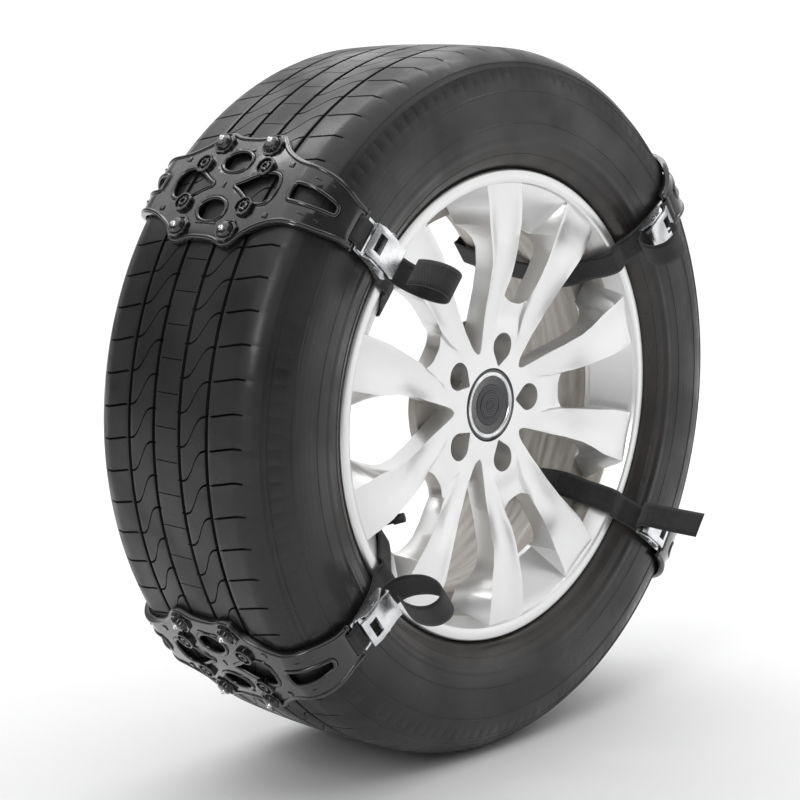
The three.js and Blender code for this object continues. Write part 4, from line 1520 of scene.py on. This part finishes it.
    def bead(self, palette: Palette) -> None:
        """A raised bead along the outline and round the big holes.

        Args:
            palette: the finishes.
        """
        holes = self.holes()
        loops = [self.inset(self.outline(), 2.7)]
        loops.extend(self.inset(hole, -2.3) for hole in holes if len(hole) > 4)
        curve = bpy.data.curves.new("bead", "CURVE")
        curve.dimensions = "3D"
        curve.bevel_depth = 2.0
        curve.bevel_resolution = 2
        for loop in loops:
            spline = curve.splines.new("POLY")
            spline.use_cyclic_u = True
            spline.points.add(len(loop) - 1)
            for point, (x, s) in zip(spline.points, loop):
                lift, thickness = self.lift(s)
                point.co = (*self.seat(x, s, lift + thickness - 0.5), 1)
        obj = bpy.data.objects.new("bead", curve)
        bpy.context.scene.collection.objects.link(obj)
        depsgraph = bpy.context.evaluated_depsgraph_get()
        mesh = bpy.data.meshes.new_from_object(obj.evaluated_get(depsgraph))
        bpy.data.objects.remove(obj)
        bm = bmesh.new()
        bm.from_mesh(mesh)
        bmesh.ops.recalc_face_normals(bm, faces=bm.faces)
        self.wheel.place(bm, self.angle)
        self.wheel.piece(f"pad_bead_{self.unit}", bm, palette.pad, Slot.PAD, sharp=60.0)

    def inset(self, loop: Sequence[Point], distance: float) -> list[Point]:
        """A loop moved inwards, or outwards by a negative distance, without crossing itself.

        Args:
            loop: the closed loop.
            distance: how far it moves.

        Returns:
            The new loop.
        """
        area = sum(a[0] * b[1] - b[0] * a[1] for a, b in zip(loop, [*loop[1:], loop[0]]))
        side = math.copysign(distance, area)
        moved = []
        for i, (x, s) in enumerate(loop):
            before, after = loop[i - 1], loop[(i + 1) % len(loop)]
            dx, ds = after[0] - before[0], after[1] - before[1]
            size = math.hypot(dx, ds) or 1.0
            moved.append((x - side * ds / size, s + side * dx / size))
        return moved

    def flower(self, bm: bmesh.types.BMesh, x: float, s: float, radius: float, height: float,
               petals: int, rings: Sequence[tuple[float, float, float]]) -> None:
        """A raised round boss with petals, a groove and a small hub, standing on the plate.

        Args:
            bm: the mesh that it is added to.
            x: its place along the tread.
            s: its place along the tyre's outside.
            radius: its radius.
            height: how far it stands off the plate.
            petals: the notches round it.
            rings: share of the radius, share of the height and depth of the notches, ring by ring.
        """
        lift, thickness = self.lift(s)
        count = petals * 6
        base = lift + thickness
        centre = self.seat(x, s, 0.0)
        out = (self.seat(x, s, 10.0) - centre).normalized()
        tangent = out.cross(Vector((0, 1, 0))).normalized()
        side = out.cross(tangent)
        loops = []
        for share, rise, wave in rings:
            loop = []
            for i in range(count):
                turn = 2 * math.pi * i / count
                notch = 1 - 0.10 * wave * (0.5 + 0.5 * math.cos(petals * turn))
                reach = radius * share * notch
                offset = tangent * reach * math.cos(turn) + side * reach * math.sin(turn)
                loop.append(bm.verts.new(centre + offset + out * (base + rise * height)))
            loops.append(loop)
            for pair in zip(loop, [*loop[1:], loop[0]]):
                bm.edges.new(pair)
        for low, high in zip(loops, loops[1:]):
            ring_edges = [bm.edges.get(pair) for loop in (low, high)
                          for pair in zip(loop, [*loop[1:], loop[0]])]
            bmesh.ops.bridge_loops(bm, edges=ring_edges)
        bm.faces.new(loops[0])

    def bosses(self, palette: Palette) -> None:
        """The four stud bosses and the four rosettes.

        Args:
            palette: the finishes.
        """
        bm = bmesh.new()
        stud_x, stud_s = self.stud_places
        rosette_x, rosette_s = self.rosette_places
        for sx in (-1, 1):
            for ss in (-1, 1):
                self.flower(bm, sx * stud_x, ss * stud_s, self.boss_radius, self.boss_height, 8, BOSS_RINGS)
                self.flower(bm, sx * rosette_x, ss * rosette_s, self.rosette_radius, 3.6, 8, ROSETTE_RINGS)
        bmesh.ops.remove_doubles(bm, verts=bm.verts, dist=0.03)
        bmesh.ops.recalc_face_normals(bm, faces=bm.faces)
        self.wheel.place(bm, self.angle)
        self.wheel.piece(f"pad_bosses_{self.unit}", bm, palette.pad, Slot.PAD, sharp=28.0)

    def marks(self, palette: Palette) -> None:
        """Small moulded bars: one in the middle, a square by each shoulder, ribs on the ears.

        Args:
            palette: the finishes.
        """
        bm = bmesh.new()
        bars = [(0.0, 0.0, 3.6, 1.4, 0.9)]
        for sx in (-1, 1):
            for ss in (-1, 1):
                bars.append((sx * 26.0, ss * 63.0, 2.8, 2.8, 1.0))
                bars.append((sx * 38.0, ss * 8.0, 1.2, 4.5, 0.9))
                bars.append((sx * 17.5, ss * 98.0, 1.0, 9.0, 0.8))
        for x, s, half_x, half_s, height in bars:
            lift, thickness = self.lift(s)
            made = bmesh.ops.create_cube(bm, size=1.0)["verts"]
            for vert in made:
                rise = lift + thickness + (height if vert.co.z > 0 else -1.0)
                taper = 0.82 if vert.co.z > 0 else 1.0
                vert.co = self.seat(x + vert.co.x * 2 * half_x * taper,
                                    s + vert.co.y * 2 * half_s * taper, rise)
        bevel_sharp(bm, 0.35, 30.0, 2)
        bmesh.ops.recalc_face_normals(bm, faces=bm.faces)
        self.wheel.place(bm, self.angle)
        self.wheel.piece(f"pad_marks_{self.unit}", bm, palette.pad, Slot.PAD, sharp=30.0)

    def studs(self, palette: Palette) -> None:
        """Four bright stud pins in their bosses.

        Args:
            palette: the finishes.
        """
        for i in range(1, 5):
            node = f"stud_{i}_{self.unit}"
            fine_copy(self.wheel, node, palette.stud, Slot.STUD, 0.35, name=f"stud_pin_{i}_{self.unit}")

    def build(self, palette: Palette) -> None:
        """Builds the pad's pieces.

        Args:
            palette: the finishes.
        """
        self.plate(palette)
        self.bead(palette)
        self.bosses(palette)
        self.marks(palette)
        self.studs(palette)


# ---- Webbing --------------------------------------------------------------------------


TAIL_ROUTES: dict[Tail, list[Point]] = {
    Tail.CURL: [(0, -6), (4, -15), (13, -25), (26, -33), (40, -36), (50, -32), (54, -24), (50, -16),
                (40, -11),
                (28, -9), (18, -10)],
    Tail.OPEN_LOOP: [(0, -6), (4, -14), (14, -21), (30, -25), (46, -23), (58, -16), (62, -6), (57, 3),
                     (46, 7),
                     (32, 6), (20, 1)],
    Tail.UPRIGHT_LOOP: [(0, -6), (5, -13), (14, -17), (24, -17), (32, -12), (36, -3), (35, 8), (29, 16),
                        (21, 17)],
    Tail.STRAIGHT: [(0, -6), (4, -11), (11, -13), (22, -12), (40, -10), (72, -9)],
}


@dataclass
class Straps:
    """One unit's webbing: the strap through the wheel, the buckle's loop and its guard tongue."""

    wheel: Wheel
    unit: str
    angle: float
    tail: Tail
    width: float = 25.0
    thickness: float = 1.5
    slack: float = 0.4
    buckle_radius: float = 257.0
    buckle_half: float = 22.0
    plate: float = 1.5
    standoff: float = 5.1
    anchor_slot: float = 16.0
    strap_slot: float = 5.0
    through_web: bool = False

    def __post_init__(self) -> None:
        """Works out the heights that the routes share."""
        self.low = self.slack + self.thickness / 2
        self.high = self.low + self.thickness + self.slack
        self.underside = self.wheel.half_section + self.standoff
        self.over_plate = self.underside + self.plate + self.low
        self.under_plate = self.underside - self.low
        pad = GripPad(self.wheel, self.unit, self.angle)
        self.over_ear = self.wheel.half_section + pad.clearance + pad.ear_lift + pad.ear_thickness + self.low
        self.slit = self.wheel.on_tyre(pad.reach, pad.clearance)[1] + 3.4 + 1.65

    def run(self, start: float, end: float, lift: float, steps: int) -> list[Point]:
        """A stretch that lies on the sidewall between two radii.

        Args:
            start: the first radius.
            end: the last radius.
            lift: how far off the rubber.
            steps: how many steps.

        Returns:
            The points, as (axial, radius).
        """
        a, b = self.wheel.length_at(start), self.wheel.length_at(end)
        return [self.wheel.on_tyre(a + (b - a) * i / steps, lift) for i in range(steps + 1)]

    def ribbon(self, name: str, route: Sequence[Point], palette: Palette, replaces: Sequence[str],
               point_end: bool = False, twist: float = 0.0) -> bpy.types.Object:
        """A strap along a route in the unit's plane, as a sheet with a woven UV.

        Args:
            name: the piece's name.
            route: points as (axial, radius).
            palette: the finishes.
            replaces: the nodes that it stands for.
            point_end: whether its last stretch is cut to a point.
            twist: degrees that the last third turns about its own length.

        Returns:
            The strap.
        """
        fine = smooth_path(route, 2.0)
        length = path_length(fine)
        count = round(length / 2.2)
        stations = evenly(fine, count)
        cells = 6
        bm = bmesh.new()
        bmesh.ops.create_grid(bm, x_segments=cells, y_segments=count, size=1.0)
        uv_layer = bm.loops.layers.uv.new("weave")
        for face in bm.faces:
            for loop in face.loops:
                u, v = (loop.vert.co.x + 1) / 2, (loop.vert.co.y + 1) / 2
                loop[uv_layer].uv = (u * self.width, v * length)
        for vert in bm.verts:
            across = vert.co.x * self.width / 2
            share = (vert.co.y + 1) / 2
            index = round(share * count)
            axial, radius = stations[index]
            before, after = stations[max(index - 1, 0)], stations[min(index + 1, count)]
            run = Vector((0, after[0] - before[0], after[1] - before[1])).normalized()
            if point_end:
                left = (1 - share) * length
                across *= min(1.0, 0.12 + left / 16.0)
            turn = math.radians(twist) * smoothstep(share, 0.72, 1.0)
            flat = Vector((1, 0, 0)) * math.cos(turn) + run.cross(Vector((1, 0, 0))) * math.sin(turn)
            vert.co = Vector((0, axial, radius)) + flat * across
        bmesh.ops.recalc_face_normals(bm, faces=bm.faces)
        self.wheel.place(bm, self.angle)
        strap = self.wheel.piece(name, bm, palette.webbing, Slot.WEBBING, replaces, sharp=180.0)
        solid = strap.modifiers.new("thickness", "SOLIDIFY")
        solid.thickness = self.thickness * MM
        solid.offset = 0.0
        return strap

    def tension_route(self) -> list[Point]:
        """From the inboard ear, down the sidewall, through the wheel, through the buckle, to the tail.

        Returns:
            The route, as (axial, radius).
        """
        w = self.wheel
        under = w.half_section + self.low
        route = [(under + 3, self.slit - 17), (self.over_ear, self.slit - 9), (self.over_ear, self.slit),
                 (under, self.slit)]
        route += self.run(w.widest_radius - 2, w.flange_radius + 8, self.low + 0.4, 4)
        well = w.well_radius - 5.0 - self.low - 1.0
        route += [(w.flange_face + 2.5, w.flange_radius + 1),
                  (w.flange_face + self.low, w.flange_radius - 3),
                  (w.flange_face + self.low, w.lip_radius - 2), (w.flange_face - 8, w.lip_radius - 10.5),
                  (-w.half_rim + 63, well)]
        if self.through_web:
            route += [(-40.0, 172.0), (-56.0, 165.0), (-66.0, 169.5), (-90.0, 199.0)]
        else:
            route += [(-w.half_rim + 31, well), (-w.half_rim + 10, w.bead_seat_radius - 13.0),
                      (-w.flange_face + 6, w.lip_radius - 10)]
        outer = w.flange_face + self.high
        route += [(-outer, w.lip_radius - 2), (-outer, w.flange_radius - 3),
                  (-w.flange_face - 5.5, w.flange_radius + 1)]
        side = self.run(w.widest_radius - 18, w.flange_radius + 9, self.high + 0.7, 2)
        route += [(-y, radius) for y, radius in side[::-1]]
        slot = self.buckle_radius + self.strap_slot
        hub_end = self.buckle_radius - self.buckle_half
        route += [(-self.under_plate, slot - 12), (-self.under_plate, slot - 1), (-self.over_plate, slot),
                  (-self.over_plate, hub_end)]
        route += [(-self.over_plate - out, hub_end + along) for out, along in TAIL_ROUTES[self.tail]]
        return route

    def loop_route(self) -> list[Point]:
        """The short loop that ties the buckle's bar to the ear.

        Returns:
            The route, as (axial, radius).
        """
        under = self.wheel.half_section + self.low
        over = max(self.over_ear, self.over_plate)
        slot = self.buckle_radius + self.anchor_slot
        return [(-under, slot - 4), (-under, (slot + self.slit) / 2), (-under, self.slit),
                (-over, self.slit),
                (-over, (slot + self.slit) / 2), (-over, slot), (-under - 0.5, slot)]

    def tongue_route(self) -> list[Point]:
        """The guard tongue under the buckle, down the sidewall and over the rim's flange.

        Returns:
            The route, as (axial, radius).
        """
        w = self.wheel
        under = w.half_section + self.low
        side = self.run(w.widest_radius - 12, w.flange_radius + 9, self.low + 0.3, 3)
        return [(-under, self.buckle_radius + self.anchor_slot + 2), (-under, w.widest_radius - 6),
                *[(-y, radius) for y, radius in side],
                (-w.flange_face - 3, w.flange_radius + 1), (-w.flange_face - self.low, w.flange_radius - 3),
                (-w.flange_face - self.low, w.lip_radius - 1), (-w.flange_face + 7, w.lip_radius - 7)]

    def build(self, palette: Palette) -> None:
        """Builds the three straps.

        Args:
            palette: the finishes.
        """
        unit = self.unit
        self.ribbon(f"tension_webbing_{unit}", self.tension_route(), palette, (f"tension_strap_{unit}",))
        self.ribbon(f"anchor_loop_{unit}", self.loop_route(), palette, (f"anchor_strap_{unit}",))
        self.ribbon(f"guard_tongue_{unit}", self.tongue_route(), palette, (),
                    point_end=True)


# ---- Buckle ---------------------------------------------------------------------------


@dataclass
class Buckle:
    """The cam buckle: its frame, lever, pin and spring."""

    wheel: Wheel
    unit: str

    def build(self, palette: Palette) -> None:
        """Rounds the buckle's plates and dresses its pieces.

        Args:
            palette: the finishes.
        """
        unit = self.unit
        fine_copy(self.wheel, f"buckle_frame_{unit}", palette.steel, Slot.BUCKLE, 0.4,
                  name=f"buckle_plate_{unit}")
        fine_copy(self.wheel, f"cam_lever_{unit}", palette.steel, Slot.BUCKLE, 0.5, f"lever_{unit}",
                  f"buckle_lever_{unit}")
        fine_copy(self.wheel, f"lever_pin_{unit}", palette.pin, Slot.PIN, 0.25, name=f"buckle_pin_{unit}")
        fine_copy(self.wheel, f"lever_spring_{unit}", palette.pin, Slot.PIN, 0.2,
                  name=f"buckle_spring_{unit}")


# ---- Studio ---------------------------------------------------------------------------


@dataclass
class Studio:
    """Camera, lights and a pale floor."""

    wheel: Wheel
    azimuth: float = -47.78
    elevation: float = 9.72
    distance: float = 1.930
    lens: float = 90.6
    aside: float = -0.02684
    above: float = -0.0042

    def axes(self) -> tuple[Vector, Vector, Vector]:
        """The camera's back, right and up directions.

        Returns:
            The three unit vectors.
        """
        a, e = math.radians(self.azimuth), math.radians(self.elevation)
        back = Vector((math.sin(a) * math.cos(e), -math.cos(a) * math.cos(e), math.sin(e)))
        right = Vector((math.cos(a), math.sin(a), 0))
        return back, right, back.cross(right)

    def camera(self) -> None:
        """Sets the camera."""
        back, right, up = self.axes()
        target = Vector((0, self.wheel.offset * MM, 0)) + right * self.aside + up * self.above
        data = bpy.data.cameras.new("camera")
        data.lens = self.lens
        data.sensor_width = 36.0
        data.clip_end = 100.0
        camera = bpy.data.objects.new("camera", data)
        camera.location = target + back * self.distance
        camera.rotation_mode = "QUATERNION"
        camera.rotation_quaternion = (-back).to_track_quat("-Z", "Y")
        bpy.context.scene.collection.objects.link(camera)
        bpy.context.scene.camera = camera

    def softbox(self, name: str, place: Vector, size: Point, power: float,
                aim: Vector = Vector((0, 0, 0))) -> None:
        """An area light.

        Args:
            name: its name.
            place: where it stands, in metres.
            size: its width and height in metres.
            power: its power in watts.
            aim: the point that it faces, the wheel's middle if not given.
        """
        data = bpy.data.lights.new(name, "AREA")
        data.shape = "RECTANGLE"
        data.size, data.size_y = size
        data.energy = power
        light = bpy.data.objects.new(name, data)
        light.location = place
        light.rotation_mode = "QUATERNION"
        light.rotation_quaternion = (aim - place).to_track_quat("-Z", "Y")
        bpy.context.scene.collection.objects.link(light)

    def lights(self) -> None:
        """Soft light from above and from the street side, with the backdrop lit by itself."""
        back, _, _ = self.axes()
        away = Vector((-back.x, -back.y, 0)).normalized()
        self.softbox("overhead", Vector((0.1, 0.2, 2.4)), (5.6, 5.0), 86.0)
        self.softbox("street_side", Vector((2.1, -2.0, 0.5)), (2.2, 2.4), 16.0)
        self.softbox("tread_side", Vector((-2.2, -0.6, 1.2)), (0.6, 1.3), 17.0)
        self.softbox("backdrop_wash", away * 1.2 + Vector((0, 0, 2.6)), (4.0, 1.2), 62.0,
                     away * 3.2 + Vector((0, 0, 0.3)))
        world = bpy.data.worlds.new("studio")
        world.use_nodes = True
        background = world.node_tree.nodes["Background"]
        background.inputs["Color"].default_value = (0.97, 0.975, 0.98, 1)
        background.inputs["Strength"].default_value = 0.22
        bpy.context.scene.world = world
        bpy.context.scene.view_settings.view_transform = "Standard"

    def floor(self, palette: Palette) -> None:
        """A wide floor that curves up into a backdrop.

        Args:
            palette: the finishes.
        """
        level = -self.wheel.ground
        bm = bmesh.new()
        across, deep = 9000.0, 4200.0
        profile = [(-deep, 0.0), (deep * 0.6, 0.0)]
        profile += [(deep * 0.6 + 900 * math.sin(math.radians(a)), 900 - 900 * math.cos(math.radians(a)))
                    for a in range(9, 91, 9)]
        profile.append((deep * 0.6 + 900, 5200.0))
        verts = [bm.verts.new((-across, y, level + z)) for y, z in profile]
        edges = [bm.edges.new(pair) for pair in zip(verts, verts[1:])]
        made = bmesh.ops.extrude_edge_only(bm, edges=edges)["geom"]
        moved = [v for v in made if isinstance(v, bmesh.types.BMVert)]
        bmesh.ops.translate(bm, vec=(2 * across, 0, 0), verts=moved)
        bmesh.ops.rotate(bm, cent=(0, 0, 0), matrix=Matrix.Rotation(math.radians(self.azimuth), 3, "Z"),
                         verts=bm.verts)
        bmesh.ops.recalc_face_normals(bm, faces=bm.faces)
        self.wheel.place(bm)
        mesh = bpy.data.meshes.new("floor")
        bm.to_mesh(mesh)
        bm.free()
        mesh.shade_smooth()
        mesh.materials.append(palette.floor)
        obj = bpy.data.objects.new("floor", mesh)
        bpy.context.scene.collection.objects.link(obj)


UNIT_TAILS = {
    "upper_right": Tail.UPRIGHT_LOOP,
    "upper_left": Tail.CURL,
    "lower_left": Tail.OPEN_LOOP,
    "lower_right": Tail.STRAIGHT,
}


def unit_angle(unit: str) -> float:
    """A unit's angle round the wheel in degrees, from where its lever's pin is.

    Args:
        unit: the unit's name.

    Returns:
        The angle in degrees.
    """
    low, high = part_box(f"lever_pin_{unit}")
    middle = (low + high) / 2
    return math.degrees(math.atan2(middle.z, middle.x)) % 360


def main() -> None:
    """Builds the studio, the wheel and its four grip units."""
    logging.basicConfig(level=logging.INFO)
    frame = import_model()
    wheel = Wheel(frame)
    palette = Palette()
    studio = Studio(wheel)
    studio.camera()
    studio.lights()
    studio.floor(palette)
    Tyre(wheel).build(palette)
    Rim(wheel).build(palette)
    CentreCap(wheel).build(palette)
    build_valve(wheel, palette)
    for unit, tail in UNIT_TAILS.items():
        angle = unit_angle(unit)
        GripPad(wheel, unit, angle).build(palette)
        Straps(wheel, unit, angle, tail, through_web=unit.endswith("left")).build(palette)
        Buckle(wheel, unit).build(palette)


if __name__ == "__main__":
    main()
